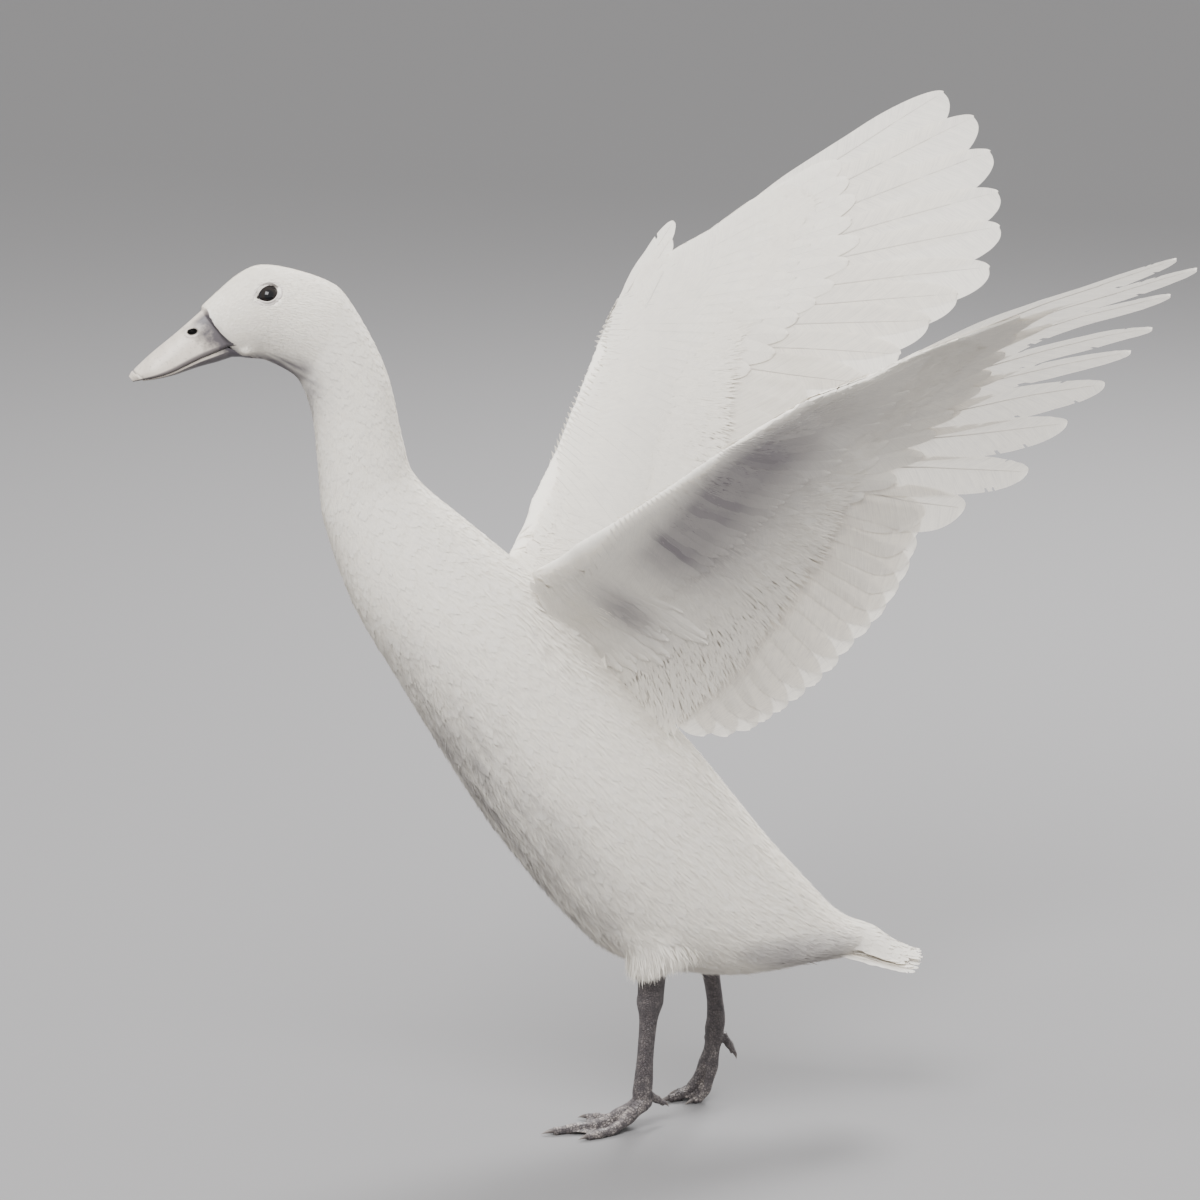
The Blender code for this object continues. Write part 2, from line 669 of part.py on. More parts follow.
def make_web(first, second, group, material):
    """Skin between two toes, its free edge hollowed."""
    upper = []
    rows = 6
    columns = 4
    for row in range(rows):
        for column in range(columns):
            across = column / (columns - 1)
            reach = 0.93 - 0.34 * 4 * across * (1 - across) * 0.55
            at = row / (rows - 1) * reach * 4
            a = Vector(curve_value(first, at))
            b = Vector(curve_value(second, at))
            sag = -0.8 * 4 * across * (1 - across) * row / (rows - 1)
            upper.append(a.lerp(b, across) + Vector((0, 0, sag)))
    count = rows * columns
    faces = []
    for row in range(rows - 1):
        for column in range(columns - 1):
            a = row * columns + column
            b = a + 1
            c = a + columns + 1
            d = a + columns
            for one, two, three in ((a, b, c), (a, c, d)):
                faces.append((one, two, three))
                faces.append((one + count, three + count, two + count))
    border = list(range(columns))
    border += [row * columns + columns - 1 for row in range(1, rows)]
    border += [count - 1 - column for column in range(1, columns)]
    border += [row * columns for row in range(rows - 2, 0, -1)]
    for a, b in zip(border, border[1:] + border[:1]):
        faces.append((a, a + count, b + count))
        faces.append((a, b + count, b))
    normals = []
    for index in range(count):
        row, column = divmod(index, columns)
        along = upper[min(row + 1, rows - 1) * columns + column] - upper[max(row - 1, 0) * columns + column]
        aside = upper[row * columns + min(column + 1, columns - 1)] - upper[row * columns + max(column - 1, 0)]
        normals.append(along.cross(aside).normalized() * WEB_THICK / 2)
    points = [point + normal for point, normal in zip(upper, normals)]
    points += [point - normal for point, normal in zip(upper, normals)]
    return make_solid("web", points, faces, material, group)


def make_foot(word, toes, leg_end, group, scaly, claws):
    """Foot with three webbed toes and the small hind toe, flat where it stands."""
    joint = Vector(leg_end) + Vector((0, 0, -5.6))
    foot = make_ball("foot_" + word, joint, (6.8, 6.2, 5.2), 0.0, scaly, group, 12, 8)
    others = []
    for toe, radii in zip(toes, TOE_RADII):
        others.append(make_loft("toe", toe_rings(toe, radii), scaly, group))
    others.append(make_web(toes[0], toes[1], group, scaly))
    others.append(make_web(toes[0], toes[2], group, scaly))
    combine(foot, others, "UNION")
    floor = bpy.data.objects.new("floor", bpy.data.meshes.new("floor"))
    work = bmesh.new()
    bmesh.ops.create_cube(work, size=0.4, matrix=Matrix.Translation((0.05, 0, -0.2)))
    work.to_mesh(floor.data)
    work.free()
    group.objects.link(floor)
    top = bpy.data.objects.new("top", floor.data.copy())
    top.data.transform(Matrix.Translation((0, 0, 0.4 + (leg_end[2] - GAP) * MM)))
    group.objects.link(top)
    combine(foot, [floor, top], "DIFFERENCE")
    for number, (toe, radii, length) in enumerate(zip(toes, TOE_RADII, CLAW_LENGTH), start=1):
        make_claw(f"claw_{word}_{number}", Vector(toe[-2]), Vector(toe[-1]), radii[-1], length, group, claws)


def make_claw(name, before, tip, radius, length, group, material):
    """Blunt curved claw, a clearance in front of its toe."""
    step = (tip - before).normalized()
    across = step.cross(Vector((0, 0, 1))).normalized()
    up = across.cross(step).normalized()
    rings = []
    for share in spread(0.0, 1.0, 4):
        size = max(radius * 0.62 * (1 - share ** 1.6), 0.35)
        centre = tip + step * (GAP + length * share) + up * (0.5 - 0.5 * share * share)
        centre.z = max(centre.z, size * 0.98 + 0.02)
        ring = []
        for number in range(6):
            angle = 2 * pi * number / 6
            ring.append(centre + across * size * cos(angle) + up * size * 0.95 * sin(angle))
        rings.append(ring)
    make_loft(name, rings, material, group)


def centre_on_floor(group):
    """Moves the whole duck so that the middle of its box stands over the origin and its soles are at Z = 0."""
    low = Vector((1e9, 1e9, 1e9))
    high = -low
    for thing in group.objects:
        for vert in thing.data.vertices:
            for axis in range(3):
                low[axis] = min(low[axis], vert.co[axis])
                high[axis] = max(high[axis], vert.co[axis])
    shift = Matrix.Translation((-(low.x + high.x) / 2, -(low.y + high.y) / 2, -low.z))
    for thing in group.objects:
        thing.data.transform(shift)
        thing.data.update()


clear_scene()
duck = make_collection("runner_duck")
plumage = make_material("plumage", (0.78, 0.74, 0.68), 0.85)
bill_horn = make_material("bill_horn", (0.52, 0.47, 0.40), 0.45)
eye_dark = make_material("eye", (0.03, 0.025, 0.03), 0.08)
leg_skin = make_material("leg_skin", (0.075, 0.06, 0.065), 0.6)
claw_horn = make_material("claw", (0.16, 0.14, 0.14), 0.5)

make_head(duck, plumage)
make_bill(duck, bill_horn)
make_eyes(duck, eye_dark)
make_trunk(duck, plumage)
make_tail(duck, plumage)
make_wing("wing_left", LEFT_WING, LEFT_PRIMARY_TIPS, LEFT_PRIMARIES, LEFT_ALULA_TIP, duck, plumage)
make_wing("wing_right", RIGHT_WING, RIGHT_PRIMARY_TIPS, RIGHT_PRIMARIES, RIGHT_ALULA_TIP, duck, plumage)
make_thigh("thigh_left", LEFT_THIGH, duck, plumage)
make_thigh("thigh_right", RIGHT_THIGH, duck, plumage)
make_leg("leg_left", LEFT_LEG, duck, leg_skin)
make_leg("leg_right", RIGHT_LEG, duck, leg_skin)
make_foot("left", LEFT_TOES, LEFT_LEG[-1], duck, leg_skin, claw_horn)
make_foot("right", RIGHT_TOES, RIGHT_LEG[-1], duck, leg_skin, claw_horn)
centre_on_floor(duck)
for part in duck.objects:
    smooth_faces(part)
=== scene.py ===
"""Looks of the white runner duck: skin, plumage, spread wings, tail, bill, eyes, legs and webbed feet."""

from math import cos, pi, radians, sin

import bpy
import numpy as np
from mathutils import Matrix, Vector
from mathutils.bvhtree import BVHTree


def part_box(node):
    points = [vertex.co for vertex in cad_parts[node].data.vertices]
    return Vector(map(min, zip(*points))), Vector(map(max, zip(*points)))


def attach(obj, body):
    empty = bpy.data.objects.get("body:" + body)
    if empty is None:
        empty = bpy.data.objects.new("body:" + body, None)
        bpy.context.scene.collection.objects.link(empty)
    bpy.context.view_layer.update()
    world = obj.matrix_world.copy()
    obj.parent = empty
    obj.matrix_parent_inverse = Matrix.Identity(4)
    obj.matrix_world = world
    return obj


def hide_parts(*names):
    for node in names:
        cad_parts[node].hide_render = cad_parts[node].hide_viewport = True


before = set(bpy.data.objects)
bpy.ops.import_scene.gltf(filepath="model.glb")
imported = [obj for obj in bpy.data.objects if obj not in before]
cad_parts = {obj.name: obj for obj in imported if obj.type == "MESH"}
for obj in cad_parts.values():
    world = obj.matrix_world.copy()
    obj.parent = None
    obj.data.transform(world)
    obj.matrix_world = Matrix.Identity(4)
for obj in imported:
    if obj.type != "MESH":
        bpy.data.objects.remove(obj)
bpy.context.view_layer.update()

# The duck's own frame. Its shapes are worked out in millimetres, bill towards -X, left side towards -Y, with the
# shoulders near X = 0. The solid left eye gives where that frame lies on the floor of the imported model.
EYE = np.array((-210.0, 13.0, 549.5))
low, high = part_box("eye_left")
SHIFT = (np.array(low) + np.array(high)) * 500.0 - EYE * (1, -1, 1)


def in_metres(points):
    return (np.asarray(points, float) + SHIFT) * 0.001


# Plumage colour. The duck is warm white all over, with the breast's lower front greyed in patches, partly soil
# and partly painted shade. Skin, down and feathers share it, so that no gap between feathers shows another colour.
WHITE = (0.87, 0.83, 0.755, 1.0)
SHADED = (0.50, 0.47, 0.455, 1.0)
# near black of soil and painted shade on the breast's lower front
SOIL_AND_SHADE = (0.13, 0.115, 0.13, 1.0)
# The same grey paints shade on the throat, at the mouth's corner and under the tail.
GREY_DOWN_AND_SHADE = (0.20, 0.18, 0.205, 1.0)  # grey down under the wing's small feathers, and painted shade
BREAST_INNER = -0.108  # metres in front of the breast line where the grey begins, and where it is full
BREAST_FRONT = -0.066
CROP = (-0.38, -0.27)  # metres down the breast line where the grey begins, and where it is full
BELLY = (-0.07, -0.13)  # where it ends, and where it is still full
AHEAD = (-0.815, 0.0, -0.579)  # way in front of the breast line, which runs down and back
DOWN_BREAST = (0.579, 0.0, -0.815)


def add(tree, kind, **inputs):
    """Node of a kind, with socket values or links by name; a key such as i0 names a socket by number."""
    node = tree.nodes.new(kind)
    for key, value in inputs.items():
        if key.startswith("set_"):
            setattr(node, key[4:], value)
            continue
        numbered = key[0] == "i" and key[1:].isdigit()
        socket = node.inputs[int(key[1:])] if numbered else node.inputs[key.replace("_", " ")]
        if isinstance(value, bpy.types.NodeSocket):
            tree.links.new(value, socket)
        else:
            socket.default_value = value
    return node


def calc(tree, operation, *values, clamp=False):
    """Output of a math node."""
    inputs = {f"i{number}": value for number, value in enumerate(values)}
    return add(tree, "ShaderNodeMath", set_operation=operation, set_use_clamp=clamp, **inputs).outputs[0]


def vector_calc(tree, operation, *values):
    """Outputs of a vector math node, called Vector and Value."""
    inputs = {f"i{number}": value for number, value in enumerate(values)}
    return add(tree, "ShaderNodeVectorMath", set_operation=operation, **inputs).outputs


def ramp(tree, value, start, end, low=0.0, high=1.0):
    """Value carried from one range over to another, and held at its ends."""
    made = add(tree, "ShaderNodeMapRange", Value=value, From_Min=start, From_Max=end, To_Min=low, To_Max=high)
    return made.outputs[0]


def blend(tree, share, first, second):
    """Colour between two others."""
    return add(tree, "ShaderNodeMix", set_data_type="RGBA", i0=share, i6=first, i7=second).outputs[2]


def noise(tree, place, scale, detail, roughness=0.5, distortion=0.0):
    made = add(tree, "ShaderNodeTexNoise", Vector=place, Scale=scale, Detail=detail, Roughness=roughness,
               Distortion=distortion)
    return made.outputs["Fac"]


def object_place(tree):
    return add(tree, "ShaderNodeTexCoord").outputs["Object"]


def parts_of(tree, vector):
    """Outputs X, Y and Z of a vector."""
    return add(tree, "ShaderNodeSeparateXYZ", Vector=vector).outputs


def uv_map(tree, name):
    return add(tree, "ShaderNodeUVMap", set_uv_map=name).outputs["UV"]


def new_material(name, roughness):
    """Material, its node tree and its shader."""
    material = bpy.data.materials.new(name)
    material.use_nodes = True
    shader = material.node_tree.nodes["Principled BSDF"]
    shader.inputs["Roughness"].default_value = roughness
    return material, material.node_tree, shader


def paint(tree, shader, colour, height=None, strength=0.0, distance=0.0):
    """Gives a shader its colour and, from a height, its relief."""
    tree.links.new(colour, shader.inputs["Base Color"])
    if height is not None:
        bump = add(tree, "ShaderNodeBump", Strength=strength, Distance=distance, Height=height)
        tree.links.new(bump.outputs["Normal"], shader.inputs["Normal"])


def make_plumage_tone():
    """Node group: colour of the plumage at a place on the duck, in its own coordinates."""
    group = bpy.data.node_groups.new("plumage tone", "ShaderNodeTree")
    for name in ("Streaks", "Shade"):
        group.interface.new_socket(name, in_out="INPUT", socket_type="NodeSocketFloat")
    group.interface.new_socket("Color", in_out="OUTPUT", socket_type="NodeSocketColor")
    entry = group.nodes.new("NodeGroupInput").outputs
    leave = group.nodes.new("NodeGroupOutput").inputs
    place = object_place(group)
    ahead = vector_calc(group, "DOT_PRODUCT", place, AHEAD)["Value"]
    down = vector_calc(group, "DOT_PRODUCT", place, DOWN_BREAST)["Value"]
    edge = 0.001 * np.dot(AHEAD, SHIFT)
    start = 0.001 * np.dot(DOWN_BREAST, SHIFT)
    lie = add(group, "ShaderNodeCombineXYZ", X=ahead, Y=parts_of(group, place)["Y"],
              Z=calc(group, "MULTIPLY", down, 0.22)).outputs[0]
    # The breast's lower front darkens in patches, partly soil and partly painted shade.
    patches = ramp(group, noise(group, lie, 95.0, 5.0, 0.62, 0.6), 0.36, 0.66, 0.15)
    soil_and_shade_zone = ramp(group, ahead, BREAST_INNER + edge, BREAST_FRONT + edge)
    for share in (ramp(group, down, CROP[0] + start, CROP[1] + start),
                  ramp(group, down, BELLY[0] + start, BELLY[1] + start), patches, 0.64):
        soil_and_shade_zone = calc(group, "MULTIPLY", soil_and_shade_zone, share)
    mottle = ramp(group, noise(group, place, 150.0, 3.0), 0.40, 0.80, 0.0, 0.12)
    tone = blend(group, calc(group, "ADD", mottle, entry["Streaks"], clamp=True), WHITE, SHADED)
    # Painted shade, and the grey down under the wings, come in by the Shade input.
    tone = blend(group, entry["Shade"], tone, GREY_DOWN_AND_SHADE)
    group.links.new(blend(group, soil_and_shade_zone, tone, SOIL_AND_SHADE), leave["Color"])
    return group


plumage_tone = make_plumage_tone()


def make_plumage(name, streaks, roughness, glow):
    """Plumage material. Its barbs run as fine streaks along the piece's own Barbs map, if it has one.

    glow is the share of light that a thin vane lets through.
    """
    material, tree, shader = new_material(name, roughness)
    tone = tree.nodes.new("ShaderNodeGroup")
    tone.node_tree = plumage_tone
    # The shade attribute brings in painted shade, and the grey of the down under the wings.
    tree.links.new(add(tree, "ShaderNodeAttribute", set_attribute_name="shade").outputs["Fac"], tone.inputs["Shade"])
    if streaks:
        barbs = uv_map(tree, "Barbs")
        run = add(tree, "ShaderNodeMapping", Vector=barbs, Scale=(1.0, 0.06, 1.0)).outputs["Vector"]
        height = noise(tree, run, 1.1, 3.0, 0.65)
        # The shaft is drawn darker, as painted shade of the groove along it.
        shaft = ramp(tree, parts_of(tree, barbs)["Y"], 0.9, 0.4, 0.0, 0.28)
        both = calc(tree, "MAXIMUM", ramp(tree, height, 0.42, 0.75, 0.0, streaks), shaft)
        tree.links.new(both, tone.inputs["Streaks"])
    else:
        height = noise(tree, object_place(tree), 600.0, 4.0)
    colour = tone.outputs["Color"]
    paint(tree, shader, colour, height, 0.3, 0.0004 if streaks else 0.0006)
    shader.inputs["Specular IOR Level"].default_value = 0.2
    if glow:
        through = add(tree, "ShaderNodeBsdfTranslucent", Color=colour).outputs[0]
        mixed = add(tree, "ShaderNodeMixShader", i0=glow, i1=shader.outputs[0], i2=through).outputs[0]
        tree.links.new(mixed, tree.nodes["Material Output"].inputs["Surface"])
    return material


skin_cover = make_plumage("down", 0.0, 0.9, 0.0)
flight_cover = make_plumage("flight_feather", 0.4, 0.6, 0.30)
vane_cover = make_plumage("feather", 0.25, 0.7, 0.2)
tuft_cover = make_plumage("tuft", 0.0, 0.8, 0.2)

# Skin. One closed skin runs from the bill over head, neck and body to the thighs, the tail's stump and the arms of
# both wings, a coat's depth inside the solids. It is lofted over the body's stations, joined and smoothed.
BODY = (
    (-228, 509, -250, 541, 11.5, 0.00),
    (-218, 507, -224, 562, 19.0, 0.05),
    (-211, 506, -205, 566, 21.5, 0.05),
    (-195, 497, -171, 556, 23.5, 0.05),
    (-188, 488, -156, 542, 23.0, 0.00),
    (-182, 466, -134, 500, 22.5, 0.00),
    (-179, 424, -123, 453, 24.0, 0.00),
    (-176, 399, -114, 430, 27.0, 0.00),
    (-158, 347, -80, 400, 39.0, -0.05),
    (-128, 294, -30, 357, 52.0, -0.08),
    (-83, 219, 31, 286, 58.0, -0.05),
    (-52, 175, 61, 253, 58.0, 0.00),
    (-25, 142, 88, 219, 56.0, 0.00),
    (0, 119, 112, 188, 53.0, 0.00),
    (33, 106, 134, 163, 48.0, 0.00),
    (79, 99, 158, 137, 40.0, 0.00),
    (119, 103, 179, 124, 30.0, 0.00),
    (152, 104, 188, 116, 21.0, 0.00),
)
COAT_DEPTH = ((0, 0.5), (2, 1.2), (4, 2.0), (7, 3.0), (9, 4.0), (14, 4.5), (15.5, 5.0), (17, 8.5))  # station, mm
BODY_END = 17.0
THIGHS = {
    "left": ((44, -20, 158, 22, 12), (36, -26, 137, 30, 20), (33, -25, 124, 24, 18), (31, -22, 115, 13, 12.5),
             (30, -21, 110, 9, 9)),
    "right": ((66, 22, 158, 22, 12), (72, 29, 139, 28, 19), (75, 37, 127, 21, 16), (78, 40, 118, 12.5, 11.5),
              (79, 41, 113, 9, 9)),
}
SKIN_GRAIN = 1.95  # mm
THIGH_COAT = 2.5  # mm of coat over the thighs' skin
BODY_SIDES = 64  # points round the body's rings
THIGH_SIDES = 32
ARM_POINTS = 14  # points across the upper face of a wing's arm


def put(name, data):
    """Object of some data, linked to the scene."""
    thing = bpy.data.objects.new(name, data)
    bpy.context.scene.collection.objects.link(thing)
    return thing


def new_piece(name, points, faces, material):
    """Smooth object from points in the duck's frame, in millimetres."""
    mesh = bpy.data.meshes.new(name)
    mesh.from_pydata(in_metres(points).tolist(), [], faces)
    mesh.polygons.foreach_set("use_smooth", [True] * len(mesh.polygons))
    mesh.materials.append(material)
    mesh.update()
    return put(name, mesh)


def plain_mesh(piece):
    """Turns a piece with modifiers into a plain mesh."""
    graph = bpy.context.evaluated_depsgraph_get()
    mesh = bpy.data.meshes.new_from_object(piece.evaluated_get(graph))
    piece.modifiers.clear()
    piece.data = mesh


def along_curve(rows, at):
    """Rows of values at fractional row numbers, along a smooth curve through the rows."""
    rows = np.asarray(rows, float)
    at = np.atleast_1d(np.asarray(at, float))
    low = np.clip(at.astype(int), 0, len(rows) - 2)
    t = (at - low)[:, None]
    padded = np.vstack([2 * rows[0] - rows[1], rows, 2 * rows[-1] - rows[-2]])
    a, b, c, d = (padded[low + step] for step in range(4))
    return 0.5 * (2 * b + (c - a) * t + (2 * a - 5 * b + 4 * c - d) * t ** 2 + (3 * b - a - 3 * c + d) * t ** 3)


def from_table(table, at):
    return np.interp(at, [row[0] for row in table], [row[1] for row in table])


def body_point(at, angle, depth=0.0):
    """Points of the body at stations and angles from the back, a depth inside the solid."""
    at = np.atleast_1d(np.asarray(at, float))
    angle = np.atleast_1d(np.asarray(angle, float))
    low_x, low_z, high_x, high_z, half, egg = along_curve(BODY, at).T
    centre = np.stack([(low_x + high_x) / 2, 0 * low_x, (low_z + high_z) / 2], 1)
    rise = np.stack([(high_x - low_x) / 2, 0 * low_x, (high_z - low_z) / 2], 1)
    rise *= (1 - depth / np.linalg.norm(rise, axis=1))[:, None]
    across = (half - depth) * np.sin(angle) * (1 + egg * np.cos(angle))
    points = centre + rise * np.cos(angle)[:, None]
    points[:, 1] += across
    return points


def loft(rings):
    """Points and faces of a closed skin over rings of equal count."""
    rings = np.asarray(rings, float)
    count, sides = rings.shape[:2]
    points = np.vstack([rings.reshape(-1, 3), rings[0].mean(0), rings[-1].mean(0)])
    faces = []
    for row in range(count - 1):
        for side in range(sides):
            a = row * sides + side
            b = row * sides + (side + 1) % sides
            faces.append((a, b, b + sides, a + sides))
    for side in range(sides):
        after = (side + 1) % sides
        faces.append((count * sides, after, side))
        faces.append((count * sides + 1, (count - 1) * sides + side, (count - 1) * sides + after))
    return points, faces


# The wings' own surface, shared by skin and feathers: u runs out from the shoulder, v back from the shoulder line,
# and lift stands off the middle of the wing towards its upper side.
WING_FRONT = ((-34, -33), (20, -38), (60, -43), (110, -52), (150, -60), (190, -65), (222, -64), (261, -52),
              (290, -47), (325, -37), (362, -26), (395, -15), (446, -5))
FRONT_HEIGHT = ((-34, -10), (20, -24), (60, -33), (110, -47), (150, -58), (185, -63), (213, -60), (254, -45),
                (290, -32), (330, -17), (367, -6), (400, 0), (450, 6))
CHORD_SLOPE = ((-34, 0.06), (60, 0.10), (110, 0.15), (160, 0.24), (200, 0.38), (230, 0.52), (300, 0.72),
               (360, 0.80), (450, 0.80))
CAMBER = ((-34, 0.20), (150, 0.28), (250, 0.16), (450, 0.08))
REAR = ((-34, 96), (-16, 118), (24, 134), (70, 126), (124, 109), (171, 91), (206, 74), (229, 84), (261, 84),
        (295, 76), (329, 66), (360, 54), (386, 44), (412, 26), (446, 6))
ARM_DEPTH = ((-34, 82), (40, 74), (150, 56), (235, 30), (322, 9))
ARM_THICK = ((-34, 7.5), (60, 6.5), (160, 5.0), (235, 3.2), (322, 1.1))
ARM_END = 300.0
WINGS = {
    "left": ((-10, -42, 370), (0.652, -0.579, 0.490), (0.621, 0.037, -0.783)),
    "right": ((-10, 42, 370), (0.665, 0.439, 0.604), (0.667, 0.004, -0.745)),
}


def unit(vectors):
    vectors = np.asarray(vectors, float)
    return vectors / np.maximum(np.linalg.norm(vectors, axis=-1, keepdims=True), 1e-9)


def wing_axes(side):
    """Root of a wing, and its ways out along it and back across it."""
    root, out, back = (np.array(value, float) for value in WINGS[side])
    out = unit(out)
    return root, out, unit(back - out * back.dot(out))


def wing_point(side, u, v, lift=0.0):
    """Points of a wing's surface, with arrays of u, v and lift."""
    root, out, back = wing_axes(side)
    top = np.cross(out, back) * (1 if side == "left" else -1)
    front = from_table(WING_FRONT, u)
    behind = v - front
    share = np.clip(behind / np.maximum(from_table(REAR, u) - front, 20.0), 0.0, 1.2)
    height = from_table(FRONT_HEIGHT, u) + from_table(CHORD_SLOPE, u) * behind
    height = height + from_table(CAMBER, u) * behind * (1 - share) + lift
    u, v, height = np.broadcast_arrays(u, v, height)
    return root + out * u[..., None] + back * v[..., None] + top * height[..., None]


def arm_half(u, share):
    """Half thickness of the wing's arm at a share of its depth behind the front edge."""
    thick = from_table(ARM_THICK, u)
    rear = np.minimum(2.3, thick * 0.6)
    share = np.clip(share, 0.0, 1.0)
    return thick * 2.4 * share ** 0.5 * (1 - share) * (1.15 - 0.3 * share) + rear * share


def full_turn(count):
    return np.linspace(0, 2 * pi, count, endpoint=False)


def join(lofts):
    """Points and faces of several lofts as one set."""
    points = []
    faces = []
    first = 0
    for part_points, part_faces in lofts:
        faces += [tuple(corner + first for corner in face) for face in part_faces]
        points.append(part_points)
        first += len(part_points)
    return np.vstack(points), faces


def melt(piece, grain, rounds):
    """Makes one closed skin of a piece's parts, with a grain in millimetres, and smooths it."""
    work = piece.modifiers.new("join", "REMESH")
    work.mode = "VOXEL"
    work.voxel_size = grain * 0.001
    work.use_smooth_shade = True
    soften = piece.modifiers.new("soften", "SMOOTH")
    soften.factor = 0.5
    soften.iterations = rounds
    plain_mesh(piece)


def read_points(piece):
    """Points of a piece in the duck's frame, in millimetres."""
    flat = np.empty(len(piece.data.vertices) * 3)
    piece.data.vertices.foreach_get("co", flat)
    return flat.reshape(-1, 3) * 1000 - SHIFT


def write_points(piece, points):
    piece.data.vertices.foreach_set("co", in_metres(points).ravel())
    piece.data.update()


def write_shade(piece, shade):
    """Keeps the grey share of a piece's points for its material: painted shade, and under the wings grey down too."""
    held = piece.data.attributes.new("shade", "FLOAT", "POINT")
    held.data.foreach_set("value", np.asarray(shade, np.float32))


body_rings = [body_point(np.full(BODY_SIDES, at), full_turn(BODY_SIDES), from_table(COAT_DEPTH, at))
              for at in np.linspace(0.0, BODY_END, 150)]
skin_parts = [loft(body_rings)]
turn = full_turn(THIGH_SIDES)
for rows in THIGHS.values():
    rings = []
    for x, y, z, front, side in along_curve(rows, np.linspace(0, 4, 20)):
        rings.append(np.stack([x + (front - THIGH_COAT) * np.cos(turn), y + (side - THIGH_COAT) * np.sin(turn),
                               np.full(THIGH_SIDES, z)], 1))
    skin_parts.append(loft(rings))
share = np.concatenate([np.linspace(0, 1, ARM_POINTS) ** 1.5, np.linspace(1, 0, ARM_POINTS)[1:-1] ** 1.5])
over = np.concatenate([np.ones(ARM_POINTS), -np.ones(ARM_POINTS - 2)])
for side in WINGS:
    rings = []
    for u in np.linspace(-34, ARM_END, 60):
        v = from_table(WING_FRONT, u) + 1.5 + (from_table(ARM_DEPTH, u) - 2.5) * share
        rings.append(wing_point(side, np.full(len(share), u), v, over * np.maximum(arm_half(u, share) - 0.8, 1.0)))
    skin_parts.append(loft(rings))
skin = new_piece("skin", *join(skin_parts), skin_cover)
melt(skin, SKIN_GRAIN, 10)

EYEBALL = np.array((-210.0, 12.2, 547.0))  # middle of the ball, whose sight is a little upward
EYEBALL_RADIUS = 8.0
EYE_RISE = radians(18)
EYE_TILT = radians(22)
SOCKET = (7.4, 6.0)  # mm, half length and half height of the hollow behind the eyeball
SOCKET_DEPTH = 1.4  # mm behind the eyeball's surface
CHEEK = np.array((-223.0, 10.5, 511.5))
CHEEK_SWELL = 3.3  # mm
CHEEK_REACH = 3.8


def eye_offsets(points):
    """Distances of points behind the eye's middle and above it, along the tilted eye with its low front corner."""
    x, _, z = (points - EYE).T
    return x * cos(EYE_TILT) + z * sin(EYE_TILT), z * cos(EYE_TILT) - x * sin(EYE_TILT)


# Painted shade lies in bands: over the throat line under the head, and over the vent line under the tail.
THROAT_LINE = ((-238, 511.5, 2), (-229, 507.5, 4.5), (-218.5, 506, 8), (-205, 504, 9.5), (-194.6, 500, 13),
               (-187, 491, 13), (-183.7, 477, 8), (-183.5, 460, 2))  # x, z, height of the band of painted shade over it
VENT_LINE = ((78, 122, 5), (102, 119, 14), (120, 117, 18), (140, 116, 17), (158, 118, 12), (172, 121, 7))
# Each line of painted shade has its strength from end to end, and the share of it that streaks break up.
SHADE_LINES = ((THROAT_LINE, (0.7, 1.0, 0.95, 0.75, 0.45, 0.2), 0.34), (VENT_LINE, (0.3, 0.6, 0.5, 0.1), 0.08))
GREY_STEPS = 60
GAPE_END = (-231.5, 512.3)  # x and z of the mouth's corner
GAPE_REACH = 3.4
STREAK_CENTRE = (-236, 524)


def body_shade(points):
    """Share of painted shade: on the ruffled throat in streaks from the gape, in the mouth's corner, under the tail."""
    place = points[:, [0, 2]]
    from_gape = np.arctan2(points[:, 2] - STREAK_CENTRE[1], points[:, 0] - STREAK_CENTRE[0])
    streaks = np.sin(58 * from_gape + 2.2 * np.sin(21 * from_gape + 0.11 * points[:, 0]) + 0.5 * points[:, 1])
    # Painted shade in the corner of the mouth.
    total = 0.9 * np.exp(-(np.linalg.norm(place - GAPE_END, axis=1) / GAPE_REACH) ** 2)
    last = GREY_STEPS - 1
    for line, most, broken in SHADE_LINES:
        rows = along_curve(line, np.linspace(0, len(line) - 1, GREY_STEPS))
        away = np.linalg.norm(place[:, None, :] - rows[None, :, :2], axis=2)
        near = away.argmin(1)
        share = np.clip(1.5 * (1 - away.min(1) / rows[near, 2]), 0, 1) * (1 - broken + broken * streaks)
        share *= np.clip(near / 4, 0, 1) * np.clip((last - near) / 6, 0, 1)
        total = np.maximum(total, share * np.interp(near, np.linspace(0, last, len(most)), most))
    return total


def ball_side(x, z):
    """How far the eyeball's surface stands from the head's middle plane."""
    return EYEBALL[1] + np.sqrt(np.maximum(EYEBALL_RADIUS ** 2 - (x - EYEBALL[0]) ** 2 - (z - EYEBALL[2]) ** 2, 2.0))


def soften_near(reach, start, fade):
    """Marks the skin's points whose reach is under start for smoothing, less so over the last millimetres."""
    weight = np.clip((start - reach) / fade, 0, 1)
    for number in np.nonzero(weight > 0)[0]:
        shoulder.add([int(number)], float(weight[number]), "ADD")


skin_points = read_points(skin)
shoulder = skin.vertex_groups.new(name="shoulder")
for side in WINGS:
    line = wing_point(side, np.linspace(-30, 5, 12), np.linspace(-30, 45, 12), 0.0)
    soften_near(np.min(np.linalg.norm(skin_points[:, None] - line[None], axis=2), axis=1), 46, 20)
for rows in THIGHS.values():
    x, y, z, _, _ = rows[1]
    soften_near(np.linalg.norm((skin_points - (x, y * 1.3, z + 4)) * (0.8, 1, 1), axis=1), 40, 16)
smooth = skin.modifiers.new("blend", "SMOOTH")
smooth.factor = 0.6
smooth.iterations = 90
smooth.vertex_group = "shoulder"
plain_mesh(skin)
skin.vertex_groups.clear()

